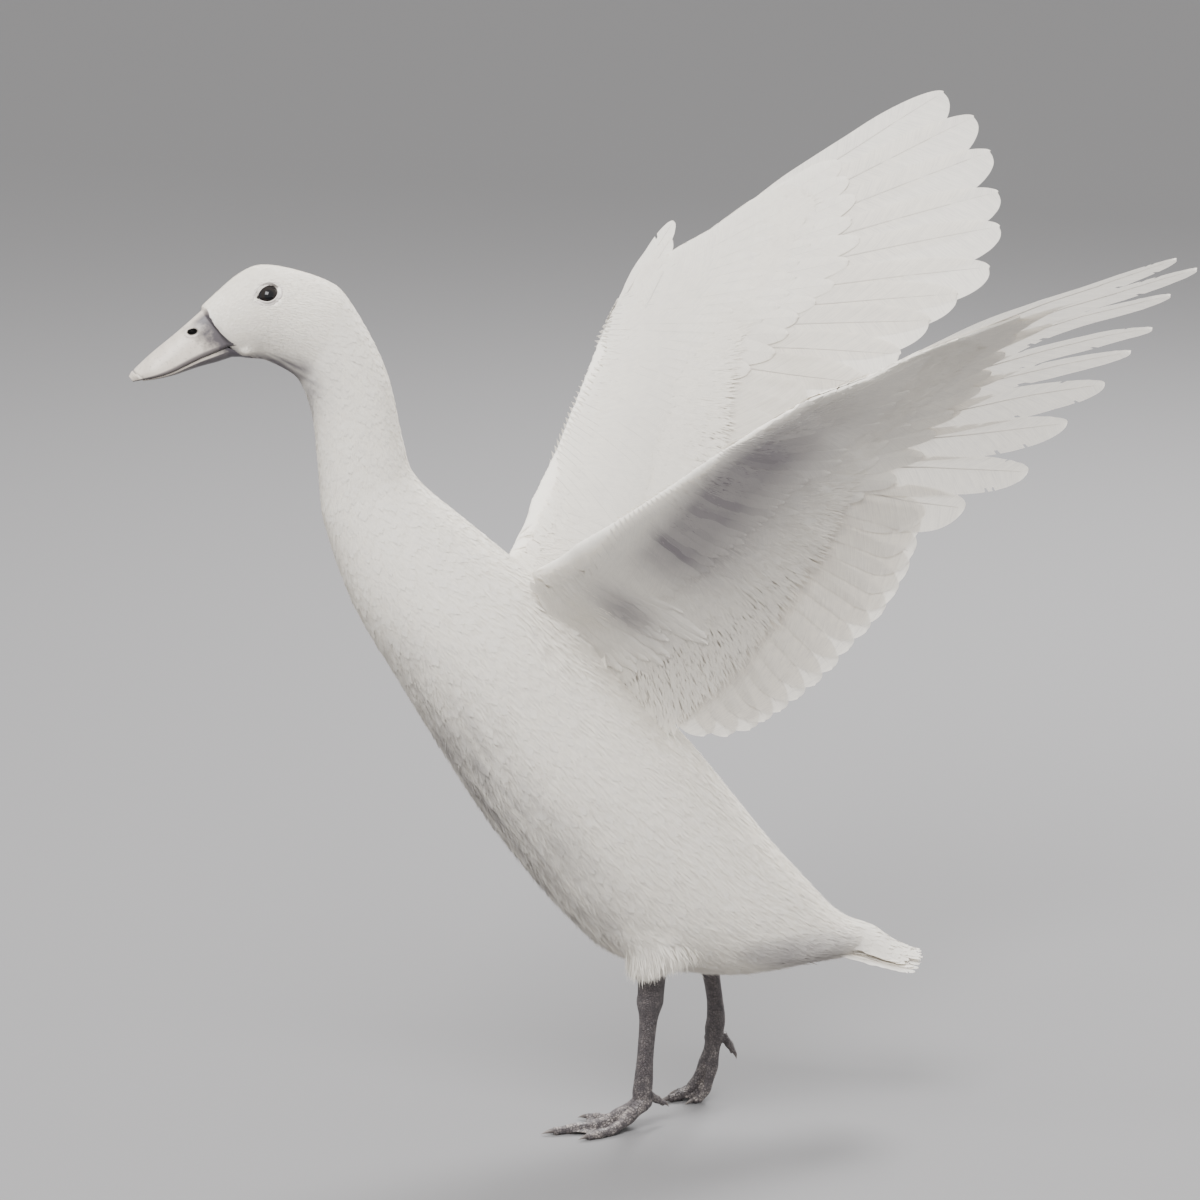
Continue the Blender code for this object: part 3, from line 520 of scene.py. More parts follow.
# The cheek swells below each eye, and the skin is sunk behind the eyeballs.
skin_points = read_points(skin)
behind, above = eye_offsets(skin_points)
inside = (behind / SOCKET[0]) ** 2 + (above / SOCKET[1]) ** 2 < 1
ball = ball_side(skin_points[:, 0], skin_points[:, 2]) - SOCKET_DEPTH
cheek = np.linalg.norm(np.abs(skin_points * (0, 1, 0)) + skin_points * (1, 0, 1) - CHEEK, axis=1)
swell = CHEEK_SWELL * np.exp(-(cheek / CHEEK_REACH) ** 2)
skin_points[:, 1] += np.sign(skin_points[:, 1]) * swell
skin_points[:, 0] -= 0.6 * swell
sunk = np.where(inside & (np.abs(skin_points[:, 1]) > 10), np.sign(skin_points[:, 1]) * ball, skin_points[:, 1])
skin_points[:, 1] = sunk
write_points(skin, skin_points)
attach(skin, "root")
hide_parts("head", "neck", "torso", "thigh_left", "thigh_right")
# The skin takes the painted shade of throat, gape and vent.
write_shade(skin, body_shade(skin_points))
skin_tree = BVHTree.FromPolygons([Vector(p) for p in skin_points], [tuple(f.vertices) for f in skin.data.polygons])


# Body coat. Contour feathers overlap like shingles from the bill to the tail and thin tufts of barbs lie over them,
# tiny and close on the face, longer on the breast and belly. Each is a thin vane bent along the skin it grows from.
def settle(points):
    """Nearest places on the skin and its normals there."""
    places = np.empty((len(points), 3))
    normals = np.empty((len(points), 3))
    for number, point in enumerate(points):
        place, normal, _, _ = skin_tree.find_nearest(point)
        places[number] = place
        normals[number] = normal
    return places, normals


def write_map(piece, name, values):
    """UV map of a piece, from a place on it for each point."""
    corners = np.empty(len(piece.data.loops), np.int32)
    piece.data.loops.foreach_get("vertex_index", corners)
    held = piece.data.uv_layers.new(name=name)
    held.data.foreach_set("uv", np.asarray(values, np.float32)[corners].ravel())


def make_coat_piece(name, points, faces, barbs, bake, material, shade=None):
    """One mesh of many vanes, with the map of its barbs, the map that its colours are baked on and its share of painted
    shade.
    """
    piece = new_piece(name, points, faces, material)
    write_shade(piece, body_shade(np.asarray(points)) if shade is None else shade)
    if barbs is not None:
        write_map(piece, "Barbs", barbs)
    write_map(piece, "OFBake", bake)
    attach(piece, "root")
    return piece


def grow_vanes(roots, lie, length, half, shape, lift, curl, bake_root, columns):
    """Points, faces and maps of vanes that follow the skin.

    shape has rows (share of the length, share of the half width, share of the tip's lift).
    """
    count = len(roots)
    places, normals = settle(roots)
    lie = unit(lie - normals * (lie * normals).sum(1, keepdims=True))
    aside = np.cross(normals, lie)
    points = []
    barbs = []
    bake = []
    for share, wide, up in shape:
        row_columns = (0.0,) if wide == 0 else columns
        for column in row_columns:
            back = share - 0.10 * column ** 2 * share
            spot = places + lie * (length * back)[:, None] + aside * (half * wide * column + curl * share ** 2)[:, None]
            spot, out = settle(spot)
            raised = 0.25 + lift * up * (1 - 0.35 * column ** 2)
            points.append(spot + out * raised[:, None])
            barbs.append(np.stack([length * share - half * abs(column) * 0.8, half * abs(column) + 1.0], 1))
            bake.append(bake_root + 0.003 * np.array((column * 0.4, share - 0.5)))
    each = len(points)
    wide = len(columns)
    rows = len(shape)
    faces = []
    for row in range(rows - 1):
        if shape[row + 1][1] == 0:
            faces += [(row * wide + column, row * wide + column + 1, (row + 1) * wide) for column in range(wide - 1)]
            continue
        for a in range(row * wide, row * wide + wide - 1):
            faces += [(a, a + 1, a + wide + 1), (a, a + wide + 1, a + wide)]
    points = np.stack(points, 1).reshape(-1, 3)
    barbs = np.stack(barbs, 1).reshape(-1, 2)
    bake = np.stack(bake, 1).reshape(-1, 2)
    faces = (np.array(faces)[None] + (np.arange(count) * each)[:, None, None]).reshape(-1, 3)
    return points, faces, barbs, bake


def body_roots(start, end, spacing, rng):
    """Stations and angles of roots in staggered rows down the body, the spacing in millimetres by station."""
    stations = []
    angles = []
    fine = np.linspace(start, end, 400)
    middle = (body_point(fine, np.zeros(400)) + body_point(fine, np.full(400, pi))) / 2
    run = np.concatenate([[0], np.cumsum(np.linalg.norm(np.diff(middle, axis=0), axis=1))])
    place = 0.0
    row = 0
    while place < run[-1]:
        at = np.interp(place, run, fine)
        gap = from_table(spacing, at)
        ring = body_point(np.full(48, at), full_turn(48))
        around = np.linalg.norm(ring - np.roll(ring, 1, 0), axis=1).sum()
        count = max(int(around / gap), 6)
        step = np.diff(fine)[0] / (run[-1] / 399)
        angle = (np.arange(count) + 0.5 * (row % 2) + rng.uniform(-0.35, 0.35, count)) / count * 2 * pi
        stations.append(at + rng.uniform(-0.45, 0.45, count) * gap * step)
        angles.append(angle)
        place += gap * 0.86
        row += 1
    stations = np.clip(np.concatenate(stations), start, end)
    return stations, np.concatenate(angles)


FACE_EDGE = ((516, -260), (517.2, -229.8), (520, -234.2), (526, -239.6), (533, -242.4), (539.6, -245.4),
             (540.5, -260))  # height, and how far forward feathers grow there


def body_coat(start, end, spacing, length, half, lift, shape, columns, yaw, seed):
    """Vanes over a stretch of the body, sizes in millimetres by station."""
    rng = np.random.default_rng(seed)
    at, angle = body_roots(start, end, spacing, rng)
    depth = from_table(COAT_DEPTH, at)
    roots = body_point(at, angle, depth)
    lie = unit(body_point(at + 0.05, angle, depth) - body_point(at - 0.05, angle, depth))
    places = settle(roots)[0]
    grows = np.linalg.norm(places - roots, axis=1) < 6.0
    behind, above = eye_offsets(roots)
    grows &= (roots[:, 0] > from_table(FACE_EDGE, roots[:, 2])) | (np.abs(roots[:, 1]) < 3)
    grows &= (behind / 8.0) ** 2 + (above / 6.2) ** 2 > 1
    at, angle, roots, lie = at[grows], angle[grows], roots[grows], lie[grows]
    count = len(at)
    aside = np.cross(unit(settle(roots)[1]), lie)
    front = np.clip(-np.cos(angle), 0, 1) * np.clip((at - 7) / 2, 0, 1)
    turn = rng.normal(0, 1, count) * yaw * (1 + 1.3 * front)
    lie = unit(lie + aside * turn[:, None])
    size = rng.uniform(0.8, 1.2, count)
    bake = np.stack([0.02 + 0.96 * (angle / (2 * pi)) % 1.0, 0.02 + 0.96 * (at - start) / (end - start)], 1)
    ruffle = 1 + 0.9 * front * rng.uniform(0, 1, count)
    return grow_vanes(roots, lie, from_table(length, at) * size, from_table(half, at) * rng.uniform(0.8, 1.2, count),
                      shape, from_table(lift, at) * rng.uniform(0.6, 1.4, count) * ruffle,
                      from_table(half, at) * rng.normal(0, 0.35, count), np.clip(bake, 0.01, 0.99), columns)


CONTOUR = ((0.0, 0.45, 0.1), (0.35, 0.9, 0.35), (0.7, 1.0, 0.7), (0.9, 0.72, 0.92), (1.0, 0.30, 1.0))
TUFT = ((0.0, 0.7, 0.15), (0.55, 1.0, 0.7), (1.0, 0.0, 1.0))
CONTOUR_SPACING = ((3.5, 3.2), (6, 3.8), (8, 4.6), (10, 5.4), (14, 5.6), (17, 4.6))
CONTOUR_LENGTH = ((3.5, 8), (6, 11), (8, 14), (10, 20), (14, 22), (17, 17))
CONTOUR_HALF = ((3.5, 2.0), (6, 2.4), (8, 3.4), (10, 4.8), (14, 5.2), (17, 4.2))
CONTOUR_LIFT = ((3.5, 0.5), (6, 0.7), (8, 0.9), (10, 1.1), (14, 1.3), (17, 1.1))
TUFT_SPACING = ((0, 0.95), (1.5, 1.05), (4, 1.2), (8, 1.45), (10, 1.6), (17, 1.6))
TUFT_LENGTH = ((0, 1.8), (1, 3.0), (3, 4.8), (4.5, 7.0), (8, 10), (10, 14), (14, 16), (17, 12))
TUFT_HALF = ((0, 0.20), (2, 0.26), (4, 0.30), (8, 0.36), (10, 0.42), (17, 0.42))
TUFT_LIFT = ((0, 0.10), (1, 0.2), (3, 0.35), (5, 0.6), (8, 1.0), (10, 1.6), (14, 1.9), (17, 1.5))

COAT_PLAN = (("neck", 3.6, 8.0), ("breast", 8.0, 10.5), ("back", 10.5, 13.2), ("rump", 13.2, 16.9))
for seed, (word, start, end) in enumerate(COAT_PLAN, start=10):
    points, faces, barbs, bake = body_coat(start, end, CONTOUR_SPACING, CONTOUR_LENGTH, CONTOUR_HALF, CONTOUR_LIFT,
                                           CONTOUR, (-1.0, 0.0, 1.0), 0.10, seed)
    make_coat_piece("contour_feathers_" + word, points, faces.tolist(), barbs, bake, vane_cover)
TUFT_PLAN = (("head", 0.0, 4.4), ("neck", 4.4, 8.0)) + COAT_PLAN[1:]
for seed, (word, start, end) in enumerate(TUFT_PLAN, start=30):
    points, faces, _, bake = body_coat(start, end, TUFT_SPACING, TUFT_LENGTH, TUFT_HALF, TUFT_LIFT, TUFT,
                                       (-1.0, 1.0), 0.13, seed)
    make_coat_piece("tufts_" + word, points, faces.tolist(), None, bake, tuft_cover)

# Thighs and belly. Soft feathers run down over each thigh and hang past its end as trousers over the bare leg, and
# loose down fringes the belly behind them.
WISP_FACES = np.array(((0, 1, 3), (0, 3, 2), (2, 3, 4)))
WISP_MARKS = np.array(((-1, -1), (1, -1), (-1, 0), (1, 0), (0, 1)))
BAKE_SPOT = 0.0015  # half width of a small feather's spot on the map that colours are baked on


def wisp_faces(count):
    """Faces of wisps of five points: two at the root, two half way and the tip."""
    return (WISP_FACES[None] + (np.arange(count) * 5)[:, None, None]).reshape(-1, 3)


def wisp_bake(roots):
    """Bake map of wisps, from the place on it of each one."""
    return (roots[:, None] + BAKE_SPOT * WISP_MARKS[None]).reshape(-1, 2)


def hang_wisps(roots, lie, out, length, half, flare, rng):
    """Points and faces of free wisps that hang past an edge, with arrays of their roots and ways."""
    count = len(roots)
    aside = unit(np.cross(lie, out))
    curl = rng.normal(0, 1.0, count)
    points = []
    for share, wide in ((0.0, 0.8), (0.5, 1.0), (1.0, 0.0)):
        for column in ((-1.0, 1.0) if wide else (0.0,)):
            off = out * (flare * share - 0.2)[:, None] + aside * (curl * share ** 2 + column * wide * half)[:, None]
            points.append(roots + lie * (length * share)[:, None] + off)
    return np.stack(points, 1).reshape(-1, 3), wisp_faces(count)


def thigh_point(rows, at, turn):
    """Points of a thigh's skin, down it and round it from its rear."""
    x, y, z, front, wide = along_curve(rows, at).T
    return np.stack([x + (front - THIGH_COAT) * np.cos(turn), y + (wide - THIGH_COAT) * np.sin(turn), z], 1)


TROUSER_TUFTS = 5200
HEM_WISPS = 10500
HEM_RISE = 5.0  # mm that the hem's rear stands over its sides, and its sides over its front
BELLY_WISPS = 8000
BELLY_START = 12.4  # station of the body
BELLY_STOP = 15.9
for seed, (side, rows) in enumerate(THIGHS.items(), start=60):
    rng = np.random.default_rng(seed)
    at = rng.uniform(0.6, 3.9, TROUSER_TUFTS)
    turn = rng.uniform(0, 2 * pi, TROUSER_TUFTS)
    roots = thigh_point(rows, at, turn)
    lie = unit(thigh_point(rows, at + 0.1, turn) - roots)
    shown = np.linalg.norm(settle(roots)[0] - roots, axis=1) < 5.0
    at, turn, roots, lie = at[shown], turn[shown], roots[shown], lie[shown]
    count = len(at)
    bake = np.stack([0.02 + 0.96 * turn / (2 * pi), 0.02 + 0.23 * at], 1)
    grown = np.clip((at - 1) / 2.2, 0, 1)
    points, faces, _, bake = grow_vanes(roots, lie, rng.uniform(7, 10, count) * (1 + 0.55 * grown),
                                        rng.uniform(0.4, 0.7, count), TUFT,
                                        rng.uniform(0.5, 1.2, count) * (1 + 2.2 * grown ** 2),
                                        rng.normal(0, 0.6, count), bake, (-1.0, 1.0))
    make_coat_piece("trousers_" + side, points, faces.tolist(), None, bake, tuft_cover)

    count = HEM_WISPS
    at = 0.8 + 3.1 * rng.uniform(0, 1, count) ** 0.5
    turn = rng.uniform(0, 2 * pi, count)
    roots = thigh_point(rows, at, turn)
    hem = rows[-1][2] - 4.5 + HEM_RISE * (1 + np.cos(turn)) + rng.normal(0, 1.8, count)
    hem = hem - 3.0 * rng.uniform(0, 1, count) ** 6
    length = np.clip((roots[:, 2] - hem) * 1.06, 5.0, 12 + 8 * np.clip(at - 1, 0, 1))
    out = np.stack([np.cos(turn), np.sin(turn), 0 * turn], 1)
    free = np.clip(at - 1.1, 0, 1)[:, None]
    down = unit(out * (-0.16 + 0.14 * np.clip(-np.cos(turn), 0, 1))[:, None] + (0.03, 0, -1.0))
    lie = unit(np.array((0.55, 0, -0.83)) * (1 - free) + down * free + rng.normal(0, 0.08, (count, 3)))
    flare = rng.uniform(-0.5, 0.8, count) * np.clip(at / 2, 0, 1)
    flare = flare + 1.6 * rng.uniform(0, 1, count) * np.clip(at / 4, 0, 1) ** 2
    points, faces = hang_wisps(roots, lie, out, length, rng.uniform(0.22, 0.45, count), flare, rng)
    bake = wisp_bake(np.stack([0.02 + 0.96 * turn / (2 * pi), 0.02 + 0.23 * at], 1))
    make_coat_piece("trouser_hem_" + side, points, faces.tolist(), None, bake, tuft_cover)

rng = np.random.default_rng(70)
count = BELLY_WISPS
at = rng.uniform(BELLY_START, BELLY_STOP, count)
turn = pi + rng.normal(0, 0.28, count)
depth = from_table(COAT_DEPTH, at)
roots = body_point(at, turn, depth)
lie = unit(body_point(at + 0.05, turn, depth) - body_point(at - 0.05, turn, depth))
lie = unit(lie + rng.normal(0, 0.11, (count, 3)) + np.array((0, 0, -0.12)))
out = unit(roots - body_point(at, turn, depth + 5))
points, faces = hang_wisps(roots, lie, out, rng.uniform(7, 13, count), rng.uniform(0.35, 0.6, count),
                           rng.uniform(0.2, 2.2, count), rng)
bake = wisp_bake(np.stack([0.02 + 0.96 * (turn / (2 * pi)) % 1.0, 0.02 + 0.27 * (at - BELLY_START)], 1))
make_coat_piece("belly_fringe", points, faces.tolist(), None, bake, tuft_cover)

# Wing feathers. Ten primaries grow from the hand, thirteen secondaries from the forearm and five tertials by the
# body. Each has a shaft and many barbs that lie close, with a few splits, and its outer vane laps over its neighbour.
PRIMARY_TIPS = {
    "left": ((443, -10), (443, 7), (415, 18), (384, 39), (359, 50), (330, 63), (296, 73), (262, 84), (226, 76),
             (212, 60)),
    "right": ((438, 0), (432, 22), (413, 41), (387, 58), (363, 70), (334, 81), (307, 78), (284, 78), (258, 81),
              (232, 80)),
}
PRIMARIES = 10
PRIMARY_HALF = {"left": (6.5, 15.0), "right": (9.0, 22.0)}  # front and rear vane
FINGERS = {"left": 5, "right": 0}  # primaries whose outer half is narrow
SECONDARY_TIPS = ((204, 66), (189, 80), (171, 91), (150, 100), (123, 109), (96, 119), (69, 126), (44, 131), (23, 134))
SECONDARIES = 13
TERTIAL_TIPS = ((6, 132), (-9, 126), (-18, 112), (-27, 97), (-33, 80))
HAND_ROOTS = ((238, -50), (160, -36))
ARM_ROOTS = ((152, -34), (50, -14))
INNER_ROOTS = ((40, -10), (-6, 2))
ALULA_TIP = {"left": (262, -50), "right": (252, -70)}
EDGE_GAP = 1.5  # mm that no feather over the arm comes nearer to the wing's front edge


def outline(share, finger, rounded):
    """Share of the full width of a vane along its length."""
    rise = np.clip(share / 0.45, 0, 1)
    wide = 0.30 + 0.70 * rise * rise * (3 - 2 * rise)
    if finger:
        pinch = np.clip((share - 0.46) / 0.22, 0, 1)
        wide *= 1 - 0.42 * pinch * pinch * (3 - 2 * pinch)
    beyond = np.clip((share - rounded) / (1 - rounded), 0, 1)
    return wide * np.sqrt(np.maximum(1 - beyond ** 2.0, 0.0)) + 0.02


class Plume:
    """Gathers feathers into one mesh."""

    def __init__(self):
        self.points = []
        self.faces = []
        self.barbs = []
        self.bake = []
        self.shade = []
        self.count = 0

    def take(self, points, faces, barbs, bake, shade=None):
        self.faces += [tuple(corner + self.count for corner in face) for face in faces]
        self.points.append(points)
        self.barbs.append(barbs)
        self.bake.append(bake)
        if shade is not None:
            self.shade.append(shade)
        self.count += len(points)

    def finish(self, name, material):
        return make_coat_piece(name, np.vstack(self.points), self.faces, np.vstack(self.barbs), np.vstack(self.bake),
                               material, np.concatenate(self.shade) if self.shade else None)


def feather(surface, root, tip, halves, lifts, barbs, steps, rng, finger=False, rounded=0.80, bow=0.0, roll=1.2,
            splits=2, shaft=0.8, ruffle=0.2, cell=None, patch=None, sweep=13.0, bed=None, torn=0.45, droop=0.0):
    """Points, faces and maps of one feather on a surface.

    halves are the widths of its front and rear vanes, lifts the heights of its root and tip, barbs and steps the
    rows of points along it and across each vane. cell is its square of the bake map, or patch its small spot there.
    bed gives the height of what the feather lies on, droop lets its edges fall, and torn is where splits may begin.
    """
    root = np.array(root, float)
    tip = np.array(tip, float)
    step = tip - root
    length = np.linalg.norm(step)
    aside = np.array((step[1], -step[0])) / length
    points = []
    faces = []
    maps = []
    total = 0
    for way, half in ((1.0, halves[0]), (-1.0, halves[1])):
        base = 1 - (1 - np.linspace(0.0, 1.0, barbs)) ** 1.35
        end = base + np.minimum(sweep / length, 0.40 * (1 - base))
        part = np.linspace(0.0, 1.0, steps + 1)
        share = base[:, None] + (end - base)[:, None] * part[None, :] ** 0.9
        across = half * outline(end, finger, rounded)[:, None] * part[None, :]
        keep = np.ones((barbs - 1, steps), bool)
        beyond = np.clip((part - part[-2]) / (1 - part[-2] + 1e-6), 0, 1)[None, :]
        for _ in range(splits):
            cut = int(rng.integers(int(barbs * torn), int(barbs * 0.9)))
            opening = rng.uniform(0.2, 0.9) / length
            near = np.exp(-np.abs(np.arange(barbs) - cut + 0.5) / 2.5)[:, None]
            share = share + np.where(np.arange(barbs)[:, None] >= cut, 1.0, -1.0) * near * beyond * opening
            keep[cut - 1, -1] = False
        rough = rng.normal(0, 1, barbs)
        for _ in range(2):
            rough = (rough + np.roll(rough, 1) + np.roll(rough, -1)) / 2.2
        lift = lifts[0] + (lifts[1] - lifts[0]) * share
        lift = lift + way * roll * part[None, :] + ruffle * rough[:, None] * part[None, :]
        lift = lift - droop * part[None, :] ** 2 * np.clip(share, 0, 1)
        place = root + step * share[..., None] + aside * (bow * 4 * share * (1 - share) + way * across)[..., None]
        if bed is not None:
            lift = lift + bed(place[..., 0], place[..., 1])
        points.append(surface(place[..., 0], place[..., 1], lift).reshape(-1, 3))
        index = np.arange(barbs * (steps + 1)).reshape(barbs, steps + 1) + total
        for row, column in zip(*np.nonzero(keep)):
            quad = (index[row, column], index[row, column + 1], index[row + 1, column + 1], index[row + 1, column])
            faces.append(tuple(int(corner) for corner in (quad if way > 0 else quad[::-1])))
        wide = np.broadcast_to(across, share.shape)
        maps.append(np.stack([np.broadcast_to(base[:, None] * length, share.shape), wide + 1.0, share,
                              way * across / max(halves)], -1).reshape(-1, 4))
        total += barbs * (steps + 1)
    if shaft:
        rings = 22 if length > 60 else 8
        share = np.linspace(0.0, 0.97, rings)
        thick = shaft * (1 - 0.85 * share)
        lift = lifts[0] + (lifts[1] - lifts[0]) * share
        for over, side in ((0.0, 1.0), (1.0, 0.0), (0.0, -1.0), (-1.0, 0.0)):
            place = root + step * share[:, None] + aside * (bow * 4 * share * (1 - share) + side * thick)[:, None]
            under = 0.0 if bed is None else bed(place[:, 0], place[:, 1])
            points.append(surface(place[:, 0], place[:, 1], lift + under + over * thick * 0.75))
            maps.append(np.stack([share * length, 0 * share, share, 0 * share], 1))
        for corner in range(4):
            for ring in range(rings - 1):
                a = total + corner * rings + ring
                b = total + (corner + 1) % 4 * rings + ring
                faces.append((a, a + 1, b + 1, b))
        total += 4 * rings
    points = np.vstack(points)
    maps = np.vstack(maps)
    if cell is None:
        bake = np.array(patch) + BAKE_SPOT * np.stack([maps[:, 3], 2 * maps[:, 2] - 1], 1)
    else:
        column, row, cells = cell
        bake = np.stack([column + 0.5 + 0.44 * maps[:, 3], row + 0.04 + 0.92 * np.clip(maps[:, 2], 0, 1)], 1) / cells
    return points, faces, maps[:, :2], bake


def flight_rows(side):
    """Root, tip, vane half widths and kind of every flight feather, from the wing tip to the body."""
    rows = []
    before, after = PRIMARY_HALF[side]
    for number, tip in enumerate(PRIMARY_TIPS[side]):
        root = np.array(HAND_ROOTS[0]) + (np.array(HAND_ROOTS[1]) - HAND_ROOTS[0]) * number / (PRIMARIES - 1)
        rows.append((root, tip, (before + 0.4 * number, after + 0.3 * number), number < FINGERS[side]))
    for tips, ends, halves, count in ((SECONDARY_TIPS, ARM_ROOTS, (13.0, 21.0), SECONDARIES),
                                      (TERTIAL_TIPS, INNER_ROOTS, (13.0, 17.0), len(TERTIAL_TIPS))):
        for share in np.linspace(0, 1, count):
            root = np.array(ends[0]) + (np.array(ends[1]) - ends[0]) * share
            rows.append((root, along_curve(tips, share * (len(tips) - 1))[0], halves, False))
    return rows


def flight_at(rows, place):
    """Root and tip between two flight feathers."""
    low = int(np.clip(int(place), 0, len(rows) - 2))
    share = place - low
    return tuple(np.array(rows[low][end], float) * (1 - share) + np.array(rows[low + 1][end], float) * share
                 for end in (0, 1))


def wing_patch(u, v, over):
    """Place of a root on the wing's own unwrap: upper side in the top half, under side in the bottom half."""
    return 0.02 + 0.96 * (u + 45) / 500, 0.02 + 0.45 * (v + 90) / 240 + (0.5 if over > 0 else 0.0)


BED_LOW = 1.9  # mm that the lowest coverts stand over the middle of the wing
BED_AIR = 0.5


def plumage_bed(u, v):
    """Height of the arm and its coverts over the middle of the wing."""
    depth = from_table(ARM_DEPTH, u)
    share = (v - from_table(WING_FRONT, u)) / depth
    rear = np.maximum(arm_half(u, 1.0), BED_LOW) + BED_AIR
    beyond = BED_LOW + (rear - BED_LOW) * np.exp(-np.maximum(share - 1, 0) * depth / 25.0)
    body = np.maximum(arm_half(u, share), BED_LOW * np.sqrt(np.clip(share / 0.25, 0, 1))) + BED_AIR
    return np.where(share < 1, np.minimum(body, rear + 6), beyond)


def lie_at(rows, u):
    """Direction of the wing's coverts at places along it, as arrays of steps in u and v."""
    last = PRIMARIES - 1 + SECONDARIES
    ends = [-end[0] for pair in (HAND_ROOTS, ARM_ROOTS, INNER_ROOTS) for end in pair]
    place = np.interp(-u, ends, (0, PRIMARIES - 1, PRIMARIES, last, last + 1, len(rows) - 1))
    steps = unit(np.array([row[1] for row in rows], float) - np.array([row[0] for row in rows], float))
    order = np.arange(len(rows))
    return unit(np.stack([np.interp(place, order, steps[:, 0]), np.interp(place, order, steps[:, 1])], 1))


def lining_shade(side, points):
    """Grey share of the small feathers under a wing: a band out to the wrist, part grey down and part painted shade,
    and painted shade in the hollow by the body.
    """
    root, out, back = wing_axes(side)
    u = (points - root) @ out
    behind = (points - root) @ back - from_table(WING_FRONT, u)
    front = np.interp(u, (50, 150, 230), (24, 7, 3))
    rear = np.interp(u, (50, 90, 150, 190, 230), (54, 58, 46, 38, 32))
    band = np.clip((behind - front + 7) / 16, 0, 1) * np.clip((rear + 42 - behind) / 50, 0, 1)
    band *= np.clip((u - 30) / 44, 0, 1) * np.clip((268 - u) / 80, 0, 1)
    hollow = np.exp(-((u - 9 - 0.06 * (behind - 60)) / 14) ** 2 - ((behind - 60) / 25) ** 2)
    return 0.82 * np.maximum(band ** 1.3, 0.9 * hollow)


def clear_edge(u, v):
    """Places back across the wing, held behind its front edge."""
    return np.maximum(v, from_table(WING_FRONT, u) + EDGE_GAP)


def wing_strands(side, rows, over, rng):
    """Thin tufts of barbs over one face of a wing's arm and coverts, in one array of each kind."""
    count = WING_TUFTS
    u = rng.uniform(-33, 306, count)
    front = from_table(WING_FRONT, u)
    share = 0.10 + rng.uniform(0.0, 1.0, count) ** 0.85 * 1.65
    v = front + from_table(ARM_DEPTH, u) * share
    lie = lie_at(rows, u)
    edge = np.clip(0.4 - share, 0, 0.4)[:, None]
    lie = unit(lie + np.array((0.9, 0.1)) * edge + rng.normal(0, 0.09, (count, 2)))
    aside = np.stack([lie[:, 1], -lie[:, 0]], 1)
    long = rng.uniform(0.7, 1.2, count) * 11.0 * np.clip(0.45 + share, 0.45, 1.0)
    curl = rng.normal(0, 0.8, count)
    points = []
    for at, wide, up in ((0.0, 0.8, 0.12), (0.55, 1.0, 0.31), (1.0, 0.0, 0.50)):
        for column in ((-1.0, 1.0) if wide else (0.0,)):
            off = aside * (curl * at ** 2 + column * wide * 0.42)[:, None]
            spot = np.stack([u, v], 1) + lie * (long * at)[:, None] + off
            lift = over * (plumage_bed(spot[:, 0], spot[:, 1]) + up * rng.uniform(0.7, 1.3, count))
            points.append(wing_point(side, spot[:, 0], clear_edge(spot[:, 0], spot[:, 1]), lift))
    bake = wisp_bake(np.stack(wing_patch(u, v, over), 1))
    return np.stack(points, 1).reshape(-1, 3), wisp_faces(count), bake


COVERT_ROWS = 9  # small rows from the front edge to the median coverts
ROOT_FEATHERS = 34  # scapulars or axillars on one face of a wing
WING_TUFTS = 12000
